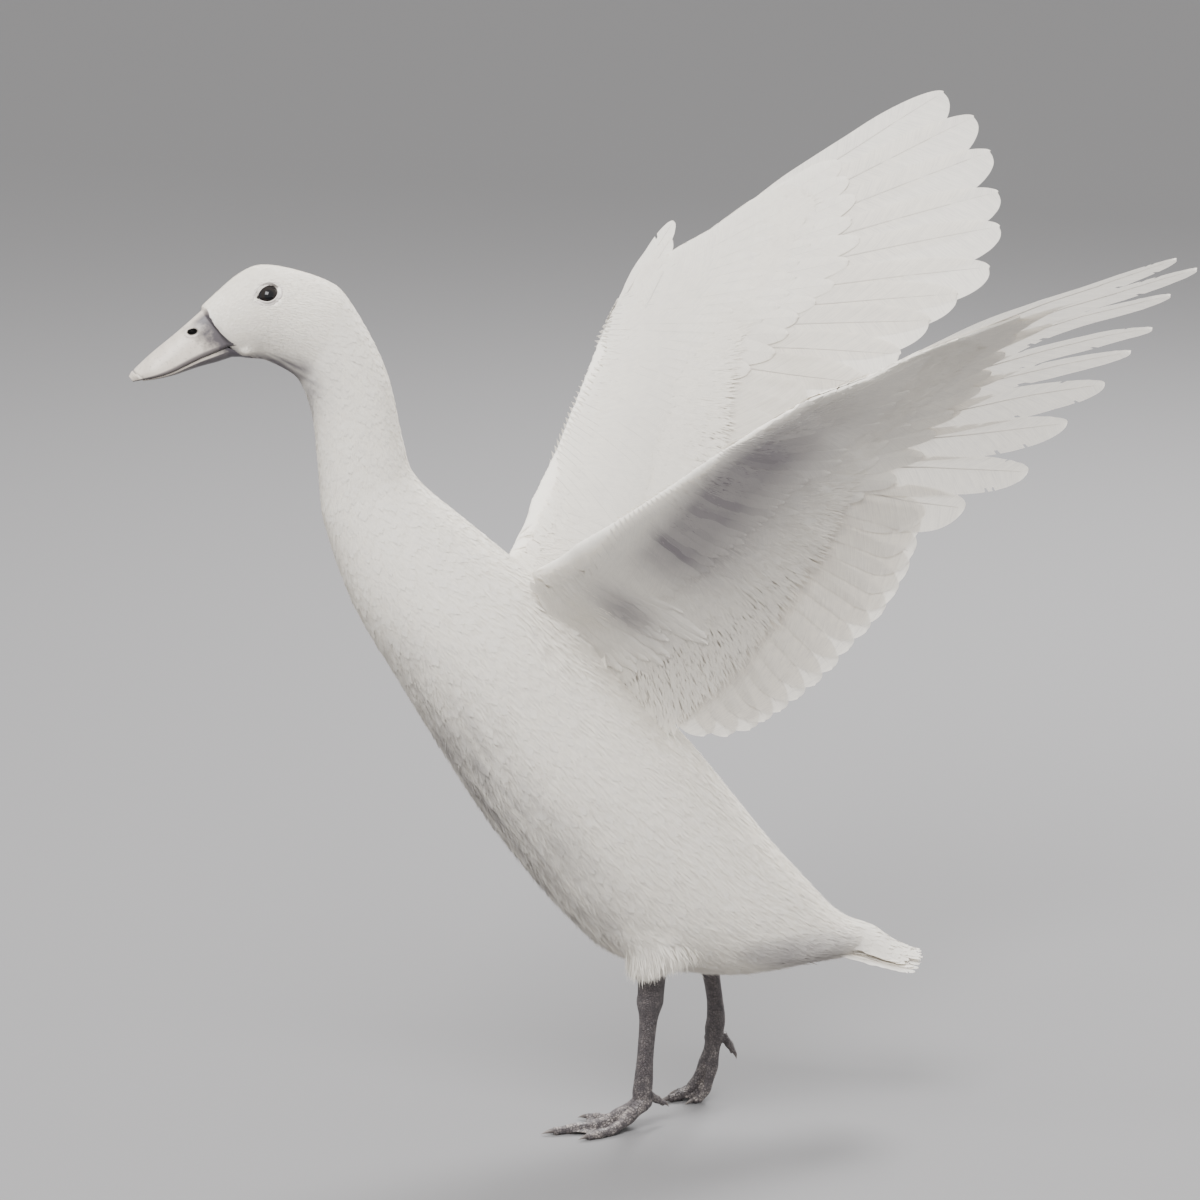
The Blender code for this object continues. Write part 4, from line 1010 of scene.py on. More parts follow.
# Greater and median coverts: share of the flight feather where they begin and end, count, half width, height of root
# and tip.
TIERS = ((-0.06, 0.54, 34, 10.0, -0.5, 0.0), (-0.12, 0.40, 38, 9.0, -0.1, 0.4), (-0.18, 0.27, 42, 8.0, 0.1, 0.7))
for side in WINGS:
    rng = np.random.default_rng(100 if side == "left" else 200)
    rows = flight_rows(side)

    def surface(u, v, lift, side=side):
        return wing_point(side, u, v, lift)

    def cover(u, v, lift, side=side):
        return wing_point(side, u, clear_edge(u, v), lift)

    flight = Plume()
    for number, (root, tip, halves, finger) in enumerate(rows):
        primary = number < PRIMARIES
        flight.take(*feather(surface, root, tip, halves, (0.0, 0.0), 90, 6, rng, finger=finger,
                             rounded=0.72 if primary else 0.87, bow=1.5 if primary else 0.0, roll=1.0,
                             splits=2 if primary and side == "left" else 0, torn=0.4, shaft=0.9 if primary else 0.7,
                             ruffle=0.10, cell=(number % 6, number // 6, 6)))
    wing = flight.finish("flight_feathers_" + side, flight_cover)
    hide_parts("wing_" + side)

    # Coverts lie in rows over the roots of the flight feathers on both sides of the wing, the greater ones longest
    # and next to them, with the median and lesser rows in front, down to the small ones along the front edge. By the
    # body, long soft scapulars above and axillars below close the fold between wing and flank.
    coverts = Plume()
    for over in (1.0, -1.0):
        def bed(u, v, over=over):
            return over * plumage_bed(u, v)

        def lay(start, end, halves, lifts, barbs, steps, **more):
            made = feather(cover, start, end, halves, (over * lifts[0], over * lifts[1]), barbs, steps, rng, bed=bed,
                           splits=0, patch=wing_patch(start[0], start[1], over), **more)
            # Under coverts take the grey down and the painted shade under the wing.
            shade = lining_shade(side, made[0]) * rng.uniform(0.75, 1.1) if over < 0 else np.zeros(len(made[0]))
            coverts.take(*made, shade)

        for first, last, count, half, start_lift, end_lift in TIERS:
            for number in range(count):
                root, tip = flight_at(rows, number / (count - 1) * (len(rows) - 1.05))
                start = root + (tip - root) * first
                end = root + (tip - root) * (last + rng.uniform(-0.02, 0.02))
                halves = (half * rng.uniform(0.85, 1.0), half * rng.uniform(1.0, 1.2))
                lay(start, end, halves, (start_lift, end_lift), 26, 3, rounded=0.55, roll=0.3, shaft=0.3,
                    ruffle=0.10, sweep=8.0, droop=over * 0.5)
        for line in range(COVERT_ROWS):
            share = 0.11 + 0.106 * line
            length = 11.0 + 2.4 * line
            half = 3.4 + 0.55 * line
            across = np.linspace(-31, 300 if line < 6 else 258, 58 - 3 * line) + 2.5 * (line % 2)
            for u, lie in zip(across, lie_at(rows, across)):
                u += rng.uniform(-1.2, 1.2)
                lie = unit(lie + np.array((1.1, 0.1)) * np.clip(0.42 - share, 0, 0.4) + rng.normal(0, 0.05, 2))
                v = float(from_table(WING_FRONT, u) + from_table(ARM_DEPTH, u) * share) + rng.uniform(-0.8, 0.8)
                start = np.array((u, v))
                end = start + lie * length * rng.uniform(0.9, 1.1) * (0.75 if u > 235 else 1.0)
                lay(start, end, (half, half * 1.1), (-0.15, 0.45), 9, 2, rounded=0.45, roll=0.12, shaft=0.0,
                    ruffle=0.12, sweep=4.0, droop=over * 0.45)
        for number in range(ROOT_FEATHERS):
            row, place = divmod(number, 17)
            u = -36 + 62 * place / 17 + rng.uniform(-2, 2)
            start = np.array((u, -14 + 26 * row + rng.uniform(-3, 3)))
            end = start + unit(np.array((0.05 + 0.006 * (u + 36), 1.0))) * (58 - 0.3 * abs(u)) * rng.uniform(0.65, 1.15)
            lay(start, end, (5.5, 6.0), (0.3 + 0.3 * row, 0.9 + 0.4 * row), 30, 3, rounded=0.35, roll=0.4,
                shaft=0.2, ruffle=0.25, sweep=9.0, droop=over * 0.8, bow=rng.uniform(-2, 2))
    for number in range(4):
        start = (172 + 4 * number, -60 + 4 * number)
        end = (ALULA_TIP[side][0] - 12 * number, ALULA_TIP[side][1] + 5 * number)
        made = feather(surface, start, end, (4.5, 5.5), (2.6 + number, 2.6 + number), 40, 3, rng, rounded=0.7,
                       roll=0.5, splits=1, shaft=0.6, patch=wing_patch(*start, 1.0), sweep=6.0)
        coverts.take(*made, np.zeros(len(made[0])))
    coverts.finish("coverts_" + side, vane_cover)
    for over, word in ((1.0, "upper"), (-1.0, "under")):
        points, faces, bake = wing_strands(side, rows, over, rng)
        # Strands under the wing take its grey down and painted shade, each strand a little lighter or darker.
        shade = np.repeat(rng.uniform(0.7, 1.15, WING_TUFTS), 5) * (over < 0)
        shade = np.clip(shade * lining_shade(side, points), 0, 1)
        make_coat_piece(f"wing_tufts_{word}_{side}", points, faces.tolist(), None, bake, tuft_cover, shade)

# Shoulders. Soft, loose feathers of the breast and flank, rooted in the skin round each shoulder, run back and down
# over the front of the wing's root and close the fold there.
SHOULDER_TUFTS = 3600
for seed, side in enumerate(WINGS, start=80):
    rng = np.random.default_rng(seed)
    count = SHOULDER_TUFTS
    middle = wing_point(side, np.array((-27.0,)), np.array((8.0,)))[0]
    off = rng.normal(0, 1, (count, 3)) * (15, 9, 17)
    roots = settle(middle + off)[0]
    lie = unit(0.35 * unit(roots - middle) + (0.66, 0, -0.50) + rng.normal(0, 0.09, (count, 3)))
    points, faces, _, bake = grow_vanes(roots, lie, rng.uniform(10, 17, count), rng.uniform(0.4, 0.7, count), TUFT,
                                        rng.uniform(1.0, 3.2, count), rng.normal(0, 0.8, count),
                                        0.5 + off[:, [0, 2]] / 160, (-1.0, 1.0))
    make_coat_piece("shoulder_tufts_" + side, points, faces.tolist(), None, np.clip(bake, 0.01, 0.99), tuft_cover)

# Tail. Fourteen feathers fan out from the stump, each lying under the one nearer the middle, with coverts over and
# under them that fill the tail out to a wedge.
TAIL_ROOT = np.array((146.0, 0.0, 115.0))
TAIL_TIP = np.array((213.0, 0.0, 102.0))
TAIL_HALF_WIDTH = 30.0
TAIL_FEATHERS = 14
TAIL_DROP = 0.0062


def tail_surface(along, across, lift):
    step = unit(TAIL_TIP - TAIL_ROOT)
    up = np.array((-step[2], 0.0, step[0]))
    height = 1.5 - TAIL_DROP * across ** 2 + lift
    along, across, height = np.broadcast_arrays(along, across, height)
    return TAIL_ROOT + step * along[..., None] + np.array((0.0, 1.0, 0.0)) * across[..., None] + up * height[..., None]


OVER_TAIL = ((-10, 34), (12, 22), (34, 13.5), (43, 8.6), (52, 5.0), (62, 2.6), (70, 1.8))  # along the tail, height
UNDER_TAIL = ((-30, -17), (6, -9.5), (25, -6.0), (45, -3.6), (62, -2.2), (70, -1.8))


def rump_surface(along, across, lift):
    """Surface that runs on from the rump over the tail, or from the belly under it where the lift is below zero."""
    along, across, lift = np.broadcast_arrays(along, across, lift)
    over = lift > 0
    height = np.where(over, from_table(OVER_TAIL, along) - 1.5, from_table(UNDER_TAIL, along) - 1.5)
    rounded = 1 - 0.95 * np.clip(np.abs(across) / 24, 0, 1) ** 2
    point = tail_surface(along, across, height * rounded + lift)
    place, out = settle(point.reshape(-1, 3))
    on_body = (place + out * (np.abs(lift).reshape(-1, 1) - 0.8)).reshape(point.shape)
    share = np.clip((along - 6) / 34, 0, 1)[..., None]
    share = share * share * (3 - 2 * share)
    return on_body * (1 - share) + point * share


rng = np.random.default_rng(300)
tail = Plume()
length = np.linalg.norm(TAIL_TIP - TAIL_ROOT)
half_count = TAIL_FEATHERS // 2
for way in (-1, 1):
    for number in range(half_count):
        share = (number + 0.5) / half_count
        lift = 1.6 - 3.4 * share
        cell = number + (half_count if way > 0 else 0)
        tail.take(*feather(tail_surface, (-6.0 - 6 * share, way * 12 * share),
                           (length * (1 - 0.16 * share ** 2) * rng.uniform(0.97, 1.0), way * TAIL_HALF_WIDTH * share),
                           (6.5, 6.5), (lift, lift), 60, 4, rng, rounded=0.60, roll=0.5, splits=1, shaft=0.8,
                           cell=(cell % 4, cell // 4, 4), sweep=9.0, droop=0.9, torn=0.7))


def lay_covert(surface, root, tip, lifts, patch, **more):
    tail.take(*feather(surface, root, tip, (5.0, 5.0), lifts, 26, 3, rng, rounded=0.45, roll=0.2, splits=0,
                       shaft=0.25, patch=patch, sweep=7.0, **more))


# Rows of coverts over and under the tail: side, where they begin and end along it, and height.
TAIL_COVERTS = ((1, 26, 66, 0.3), (1, 16, 58, 0.6), (1, 4, 48, 0.9), (1, -6, 36, 1.2), (-1, 4, 66, -0.3),
                (-1, -8, 56, -0.6), (-1, -20, 44, -0.9))
for over, begin, reach, lift in TAIL_COVERTS:
    for number in range(13):
        share = (number - 6) / 6
        tip = (reach * (1 - 0.16 * share ** 2) * rng.uniform(0.92, 1.05), share * (17 + 8 * reach / 66))
        lay_covert(rump_surface, (begin, share * 13), tip, (lift, lift + over * 0.3),
                   (0.5 + 0.06 * share, 0.9 + 0.01 * over), droop=over * 0.2)
for way in (-1, 1):
    for number in range(9):
        height = -7.0 + 1.9 * number
        tip = (44 + 2 * number, way * (19 - 0.5 * abs(height)))
        lay_covert(tail_surface, (-8.0, way * (11 - 0.3 * abs(height))), tip,
                   (height, height * 0.22), (0.5 + 0.06 * way, 0.87))
tail_piece = tail.finish("tail_feathers", flight_cover)
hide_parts("tail")

# Eyes. Dark, wet balls set deep in the head between two pale, bare lids, with a low pointed corner in front. The lids
# are a soft ring of skin that lies close on the ball, with a fold behind the rim.
EYE_HALF_LENGTH = 6.7
EYE_HALF_HEIGHT = 4.75
LID_SIDES = 96
LID_PROFILE = ((-0.9, -0.5, 0.0), (-0.45, 0.10, 0.0), (-0.1, 0.55, 0.0), (0.30, 0.75, 0.15), (0.75, 0.60, 0.45),
               (1.10, 0.62, 0.75), (1.55, 0.80, 1.0), (2.05, 0.55, 1.0), (2.6, 0.10, 1.0),
               (3.1, -0.6, 1.0))  # mm out from the opening, mm raised, share that follows the skin


def make_eye_cover():
    """Dark brown iris round a black pupil, under a wet clear coat."""
    material, tree, shader = new_material("eye", 0.15)
    place = object_place(tree)
    middle = in_metres(EYE)
    axis = add(tree, "ShaderNodeCombineXYZ", X=middle[0], Y=parts_of(tree, place)["Y"], Z=middle[2]).outputs[0]
    away = vector_calc(tree, "DISTANCE", place, axis)["Value"]
    iris = blend(tree, noise(tree, place, 900.0, 4.0), (0.003, 0.0025, 0.0025, 1), (0.014, 0.009, 0.007, 1))
    tone = blend(tree, ramp(tree, away, 0.0027, 0.0030), (0.002, 0.002, 0.003, 1), iris)
    paint(tree, shader, blend(tree, ramp(tree, away, 0.0042, 0.0050), tone, (0.006, 0.005, 0.006, 1)))
    shader.inputs["Specular IOR Level"].default_value = 0.15
    shader.inputs["Coat Weight"].default_value = 0.3
    shader.inputs["Coat Roughness"].default_value = 0.05
    return material


def make_lid_cover():
    """Bare pale skin with fine creases."""
    material, tree, shader = new_material("lid", 0.55)
    creases = noise(tree, object_place(tree), 1400.0, 4.0)
    paint(tree, shader, blend(tree, creases, (0.40, 0.355, 0.34, 1), (0.72, 0.67, 0.62, 1)), creases, 0.5, 0.0002)
    return material


def lid_edge(turn, out):
    """x and z of places on the lids' ring, out millimetres outside the almond opening."""
    front = np.clip(-np.cos(turn), 0, 1)
    corner = np.exp(-((np.abs(turn - pi)) / 0.30) ** 2)
    behind = (EYE_HALF_LENGTH + out) * np.cos(turn) * 1.04 - 1.2 * corner
    above = (EYE_HALF_HEIGHT + out) * np.sin(turn) * (1 - 0.22 * front ** 2) + 0.7
    return (EYE[0] + behind * cos(EYE_TILT) - above * sin(EYE_TILT),
            EYE[2] + behind * sin(EYE_TILT) + above * cos(EYE_TILT))


eye_cover = make_eye_cover()
lid_cover = make_lid_cover()
for side, way in (("left", -1), ("right", 1)):
    rings = []
    turn = full_turn(64)[:, None]
    forward = np.array((1.0, 0.0, 0.0))
    sight = np.array((0.0, way * cos(EYE_RISE), sin(EYE_RISE)))
    upward = np.cross(forward, sight)
    for polar in np.linspace(0.02, radians(110), 44):
        reach = EYEBALL_RADIUS * sin(polar)
        bulge = 0.4 * max(1 - (reach / 4.4) ** 2, 0.0)
        ring = forward * reach * np.cos(turn) + upward * reach * np.sin(turn)
        rings.append(EYEBALL * (1, way, 1) + sight * (EYEBALL_RADIUS * cos(polar) + bulge) + ring)
    points, faces = loft(rings)
    eye = new_piece("eyeball_" + side, points, faces, eye_cover)
    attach(eye, "root")
    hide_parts("eye_" + side)

    turn = full_turn(LID_SIDES)
    outer_x, outer_z = lid_edge(turn, 2.6)
    outer = np.array([abs(skin_tree.ray_cast(Vector((x, way * 40, z)), Vector((0, -way, 0)))[0][1])
                      for x, z in zip(outer_x, outer_z)])
    rings = []
    for out, raised, on_skin in LID_PROFILE:
        x, z = lid_edge(turn, out)
        flesh = outer - (z - outer_z) * 0.42
        depth = ball_side(x, z) * (1 - on_skin) + flesh * on_skin + raised
        rings.append(np.stack([x, way * depth, z], 1))
    points = np.vstack(rings)
    faces = []
    for row in range(len(LID_PROFILE) - 1):
        for number in range(LID_SIDES):
            a = row * LID_SIDES + number
            b = row * LID_SIDES + (number + 1) % LID_SIDES
            faces.append((a, b, b + LID_SIDES, a + LID_SIDES) if way < 0 else (a, a + LID_SIDES, b + LID_SIDES, b))
    lid = new_piece("lids_" + side, points, faces, lid_cover)
    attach(lid, "root")

# Bill. Horn over bone, straight along its ridge, with a raised nail at the tip, an open nostril on each side and a
# dark patch of painted shade at its root. The lower bill lies inside the upper one's edge, its rim paler than its
# underside, which is darkened with painted shade.
BILL = (
    (-248.7, 538.5, -234, 517, 9.2),
    (-257.6, 530.9, -243, 513.5, 9.5),
    (-266.7, 523.4, -251.5, 510.4, 10),
    (-273.9, 517.8, -260, 506.7, 10.8),
    (-280.7, 512.3, -268, 503.2, 11.4),
    (-286.6, 507.0, -277, 500.4, 11.2),
    (-291, 502.8, -285.5, 498.4, 8.6),
    (-293.6, 499, -291.8, 496.6, 3.6),
)
FEATHER_LINE = ((0, -229.8, 517.2), (16, -234.2, 520), (34, -239.6, 526), (50, -242.4, 533), (66, -245.4, 539.6),
                (90, -249.6, 541.6))  # turn round the bill, x, z
LOWER_DEPTH = ((-2.0, 1.2), (-1.0, 4.4), (0.0, 8.0), (1.0, 7.2), (2.0, 6.0), (3.05, 4.6), (4.1, 3.4), (5.1, 2.2),
               (6.1, 1.2))
NOSTRIL = (-255.4, 526.2)
NOSTRIL_SIZE = (3.3, 1.9)  # mm, half its length and half its height
NOSTRIL_TILT = radians(12)
BILL_CLEAR = np.array((-33.0, 0.0, -23.0)) / 40.2 * 0.35
BILL_LAST = len(BILL) - 1.0
LOWER_LAST = 6.1  # where the lower bill ends, on the same scale
NAIL = 6.0  # where the nail begins, behind a crease


def make_horn(lower):
    """Horn of one half of the bill, marked by its Bill map: share of the length, and turn round it in radians."""
    material, tree, shader = new_material("lower_bill" if lower else "upper_bill", 0.42)
    place = object_place(tree)
    cloud = noise(tree, place, 160.0, 5.0, 0.6)
    along, turn, _ = parts_of(tree, uv_map(tree, "Bill"))
    tone = blend(tree, cloud, (0.44, 0.385, 0.33, 1), (0.72, 0.655, 0.57, 1))
    specks = ramp(tree, noise(tree, place, 620.0, 3.0), 0.60, 0.74, 0.0, 0.5)
    tone = blend(tree, specks, tone, (0.16, 0.135, 0.13, 1))
    ahead = calc(tree, "ADD", along, calc(tree, "MULTIPLY_ADD", cloud, 0.26, -0.13))
    if lower:
        # Painted shade over the lower bill's underside, more towards its root, and at its root's end; its rim stays
        # paler.
        under_shade = ramp(tree, ahead, 1.0, 0.35, 0.6, 0.96)
        horn_shade = calc(tree, "MULTIPLY", ramp(tree, turn, 0.17, 0.27), under_shade)
        horn_shade = calc(tree, "MAXIMUM", horn_shade, ramp(tree, ahead, 0.13, 0.03))
    else:
        # Painted shade in a dark patch at the root's sides, and in a dark line along the cutting edge.
        patch = ramp(tree, ahead, 0.23, 0.05, 0.0, 0.97)
        horn_shade = calc(tree, "MULTIPLY", patch, ramp(tree, turn, 1.30, 1.02))
        horn_shade = calc(tree, "MAXIMUM", horn_shade, ramp(tree, turn, 0.10, 0.05, 0.0, 0.85))
        # A crease sets the nail off from the rest, darkened with painted shade.
        crease_shade = calc(tree, "ABSOLUTE", calc(tree, "SUBTRACT", along, 0.865))
        crease_shade = calc(tree, "MULTIPLY", ramp(tree, crease_shade, 0.020, 0.004, 0.0, 0.7), ramp(tree, turn, 0.55, 0.9))
        horn_shade = calc(tree, "MAXIMUM", horn_shade, crease_shade)
        level = vector_calc(tree, "SUBTRACT", place, tuple(in_metres((NOSTRIL[0], 0.0, NOSTRIL[1]))))["Vector"]
        level = add(tree, "ShaderNodeVectorRotate", set_rotation_type="Y_AXIS", Vector=level, Angle=NOSTRIL_TILT)
        size = (1000 / NOSTRIL_SIZE[0], 0, 1000 / NOSTRIL_SIZE[1])
        level = vector_calc(tree, "MULTIPLY", level.outputs[0], size)["Vector"]
        reach = vector_calc(tree, "LENGTH", level)["Value"]
        tone = blend(tree, ramp(tree, reach, 1.7, 1.2, 0.0, 0.5), tone, (0.80, 0.74, 0.66, 1))
    # The painted shade darkens the horn here.
    tone = blend(tree, horn_shade, tone, (0.065, 0.057, 0.066, 1))
    # The nostril's hole is painted black as its shade.
    if not lower:
        tone = blend(tree, ramp(tree, reach, 1.05, 0.85), tone, (0.002, 0.002, 0.002, 1))
    paint(tree, shader, tone, cloud, 0.35, 0.0003)
    return material


def bill_ring(at, turn):
    """Points of the upper bill at one place along it, at turns from the left edge over the ridge to the right."""
    ridge_x, ridge_z, edge_x, edge_z, half = along_curve(BILL, at)[0]
    edge = np.array((edge_x, 0.0, edge_z))
    rise = np.array((ridge_x - edge_x, 0.0, ridge_z - edge_z))
    share = np.sin(turn) ** (0.78 - 0.14 * max(at, 0) / BILL_LAST)
    ring = edge + rise * share[:, None] + BILL_CLEAR
    ring[:, 1] += -half * np.cos(turn)
    nail = 0.45 * np.clip((at - NAIL - 0.05) / 0.22, 0, 1) - 0.35 * np.exp(-((at - NAIL) / 0.07) ** 2)
    ring[:, 1] -= np.cos(turn) * nail
    return ring + unit(rise) * (nail * np.sin(turn) ** 2)[:, None]


def bill_piece(name, rings, along, turns, material, node):
    points, faces = loft(rings)
    piece = new_piece(name, points, faces, material)
    marks = np.stack([np.repeat(along, len(turns)), np.tile(turns, len(along))], 1)
    write_map(piece, "Bill", np.vstack([marks, (along[0], 0.0), (along[-1], 0.0)]))
    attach(piece, "root")
    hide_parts(node)


turn = np.linspace(0.0, pi, 65)
low_turn = np.minimum(turn, pi - turn)
palate = np.linspace(1, -1, 17)[1:-1]  # places across the closed inner side of each half
base = bill_ring(0.0, turn)
line = np.degrees(low_turn)
collar = np.stack([from_table(FEATHER_LINE, line), -13.0 * np.cos(turn),
                   from_table([(row[0], row[2]) for row in FEATHER_LINE], line)], 1)
skin_place, skin_out = settle(collar)
collar = skin_place + skin_out * 0.3
rings = []
along = []
for step in np.linspace(-1.0, 0.0, 13)[:-1]:
    ring = collar * -step + base * (1 + step)
    place, out = settle(ring)
    height = ((ring - place) * out).sum(1)
    rings.append(np.where((height < 0.3)[:, None], place + out * 0.3, ring))
    along.append(step * 0.08)
for at in np.linspace(0.0, BILL_LAST, 130):
    ring = bill_ring(at, turn)
    x = ring[:, 0] - NOSTRIL[0]
    z = ring[:, 2] - NOSTRIL[1]
    reach = np.hypot((x * cos(NOSTRIL_TILT) + z * sin(NOSTRIL_TILT)) / NOSTRIL_SIZE[0],
                     (z * cos(NOSTRIL_TILT) - x * sin(NOSTRIL_TILT)) / NOSTRIL_SIZE[1])
    sunk = 4.2 * np.sqrt(np.maximum(1 - reach ** 2, 0)) - 0.3 * np.exp(-((reach - 1.35) / 0.3) ** 2)
    ring[:, 1] -= np.sign(ring[:, 1]) * np.where(low_turn < 1.35, sunk, 0)
    rings.append(ring)
    along.append(at / BILL_LAST)
closed = []
for ring in rings:
    middle = (ring[0] + ring[-1]) / 2
    arch = np.stack([np.full(len(palate), middle[0]), ring[-1, 1] * palate, middle[2] + 0.9 * (1 - palate ** 2)], 1)
    closed.append(np.vstack([ring, arch]))
turns = np.concatenate([low_turn, np.zeros(len(palate))])
bill_piece("upper_bill", closed, np.array(along), turns, make_horn(False), "bill_upper")

DOWN = np.array((0.42, 0.0, -0.91))
turn = np.linspace(0.0, pi, 41)
rings = []
along = []
for at in np.linspace(-2.0, LOWER_LAST, 110):
    _, _, edge_x, edge_z, half = along_curve(BILL, max(at, 0.0))[0]
    edge = np.array((edge_x, 0.0, edge_z)) + np.array((7.5, 0.0, -3.4)) * max(-at, 0.0)
    half += 0.3 * min(at, 0.0)
    start = edge + DOWN * 0.35 + BILL_CLEAR * 1.3
    ring = start + DOWN * (float(from_table(LOWER_DEPTH, at)) * np.sin(turn) ** 0.8)[:, None]
    ring[:, 1] += (half - 0.9) * np.cos(turn)
    trough = np.stack([np.full(len(palate), start[0]), (half - 0.9) * -palate, start[2] - 0.8 * (1 - palate ** 2)], 1)
    rings.append(np.vstack([ring, trough]))
    along.append(at / LOWER_LAST)
turns = np.concatenate([np.minimum(turn, pi - turn), np.zeros(len(palate))])
bill_piece("lower_bill", rings, np.array(along), turns, make_horn(True), "bill_lower")


# Fine combs of horn stand along the cutting edges of both halves of the bill, with which the duck strains its food.
# Each is a row of small plates of the lower bill's horn, set across the edge at an even spacing.
def make_comb():
    """Geometry node group: sets a small plate across a path at an even spacing."""
    group = bpy.data.node_groups.new("comb", "GeometryNodeTree")
    group.interface.new_socket("Geometry", in_out="INPUT", socket_type="NodeSocketGeometry")
    for name, value in (("Spacing", 0.0012), ("Thickness", 0.0004), ("Width", 0.0009), ("Height", 0.0010)):
        group.interface.new_socket(name, in_out="INPUT", socket_type="NodeSocketFloat").default_value = value
    group.interface.new_socket("Material", in_out="INPUT", socket_type="NodeSocketMaterial")
    group.interface.new_socket("Geometry", in_out="OUTPUT", socket_type="NodeSocketGeometry")
    entry = group.nodes.new("NodeGroupInput").outputs
    leave = group.nodes.new("NodeGroupOutput")
    path = add(group, "GeometryNodeMeshToCurve", Mesh=entry["Geometry"]).outputs["Curve"]
    even = add(group, "GeometryNodeResampleCurve", set_mode="LENGTH", Curve=path, Length=entry["Spacing"])
    size = add(group, "ShaderNodeCombineXYZ", X=entry["Thickness"], Y=entry["Width"], Z=entry["Height"]).outputs[0]
    plate = add(group, "GeometryNodeMeshCube", Size=size).outputs["Mesh"]
    run = group.nodes.new("GeometryNodeInputTangent").outputs["Tangent"]
    turned = add(group, "FunctionNodeAlignRotationToVector", set_axis="X", Vector=run).outputs["Rotation"]
    many = add(group, "GeometryNodeInstanceOnPoints", Points=even.outputs["Curve"], Instance=plate, Rotation=turned)
    real = add(group, "GeometryNodeRealizeInstances", Geometry=many.outputs["Instances"]).outputs["Geometry"]
    done = add(group, "GeometryNodeSetMaterial", Geometry=real, Material=entry["Material"]).outputs["Geometry"]
    group.links.new(done, leave.inputs[0])
    return group


comb = make_comb()
comb_cover = bpy.data.materials["lower_bill"].copy()
comb_cover.name = "comb"
for side, way in (("left", -1), ("right", 1)):
    for half_name, inset, drop in (("upper", 1.0, -0.1), ("lower", 1.7, -0.35)):
        path = []
        for at in np.linspace(0.15, 5.6, 60):
            _, _, edge_x, edge_z, half = along_curve(BILL, at)[0]
            path.append(np.array((edge_x, way * (half - inset), edge_z + drop)) + BILL_CLEAR)
        mesh = bpy.data.meshes.new("path")
        mesh.from_pydata(in_metres(path).tolist(), [(n, n + 1) for n in range(len(path) - 1)], [])
        piece = put(f"bill_comb_{half_name}_{side}", mesh)
        step = piece.modifiers.new("comb", "NODES")
        step.node_group = comb
        for item in comb.interface.items_tree:
            if item.in_out == "INPUT" and item.name == "Material":
                step[item.identifier] = comb_cover
        plain_mesh(piece)
        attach(piece, "root")

# Legs and feet. Scaly skin, dusky, with a row of broad scutes down the front of each leg and along the toes, small
# scales elsewhere and thin webs between the front toes. Each leg and foot is one skin, and the claws are horn.
LEG_ROWS = {
    "left": ((30, -21, 116), (29, -20, 94), (28.5, -19, 86), (28, -17, 74), (27, -13, 50), (26.5, -10, 32),
             (26, -8, 22), (26, -8, 16)),
    "right": ((78.5, 41, 120), (80, 42, 103), (81, 42, 96), (83, 43, 86), (86, 44, 68), (87, 44, 54), (86, 44, 46),
              (86, 44, 40)),
}
LEG_RADII = ((9.4, 8.4), (8.6, 7.6), (8.6, 7.2), (6, 5.2), (5.4, 4.4), (6.2, 5.2), (6.4, 5.8), (5.4, 4.8))
TOES = {
    "left": (((26, -8, 17), (10, -9, 9), (-4, -10, 3.8), (-20, -12, 3.2), (-33, -13, 2.4)),
             ((26, -10, 16), (15, -15, 8.5), (4, -21, 3.6), (-6, -25.5, 2.9), (-14, -28, 2.3)),
             ((26, -6, 16), (16, -1, 8), (8, 4, 3.4), (0, 9, 2.8), (-6, 12, 2.3)),
             ((31, -7, 20), (37, -3, 16), (42, -1, 12.5))),
    "right": (((86, 44, 41), (80, 43, 24), (71, 41, 9), (62, 39, 4), (54, 37.5, 2.4)),
              ((87, 45, 40), (84, 47, 22), (77, 49, 8), (69, 50, 3.6), (63, 50.5, 2.3)),
              ((86, 43, 40), (83, 38, 22), (78, 34, 8), (73, 32, 3.4), (69, 31, 2.3)),
              ((91, 44, 42), (96, 43, 35), (98.5, 42, 30))),
}
TOE_RADII = ((5.4, 4.4, 3.7, 3.3, 2.6), (4.8, 4, 3.3, 3, 2.4), (4.6, 3.8, 3.1, 2.8, 2.3), (3.4, 2.6, 2))
CLAW_LENGTH = (8, 6.5, 6, 4.5)
CLAW_ROWS = 26
CLAW_SIDES = 16
WEB_THICK = 1.2
WEB_ROWS = 26
WEB_COLUMNS = 13
WEB_HOLLOW = 0.19  # how far the free edge is hollowed, as a share of the toes' length
WEB_SAG = 0.9  # mm
FOOT_GRAIN = 0.6


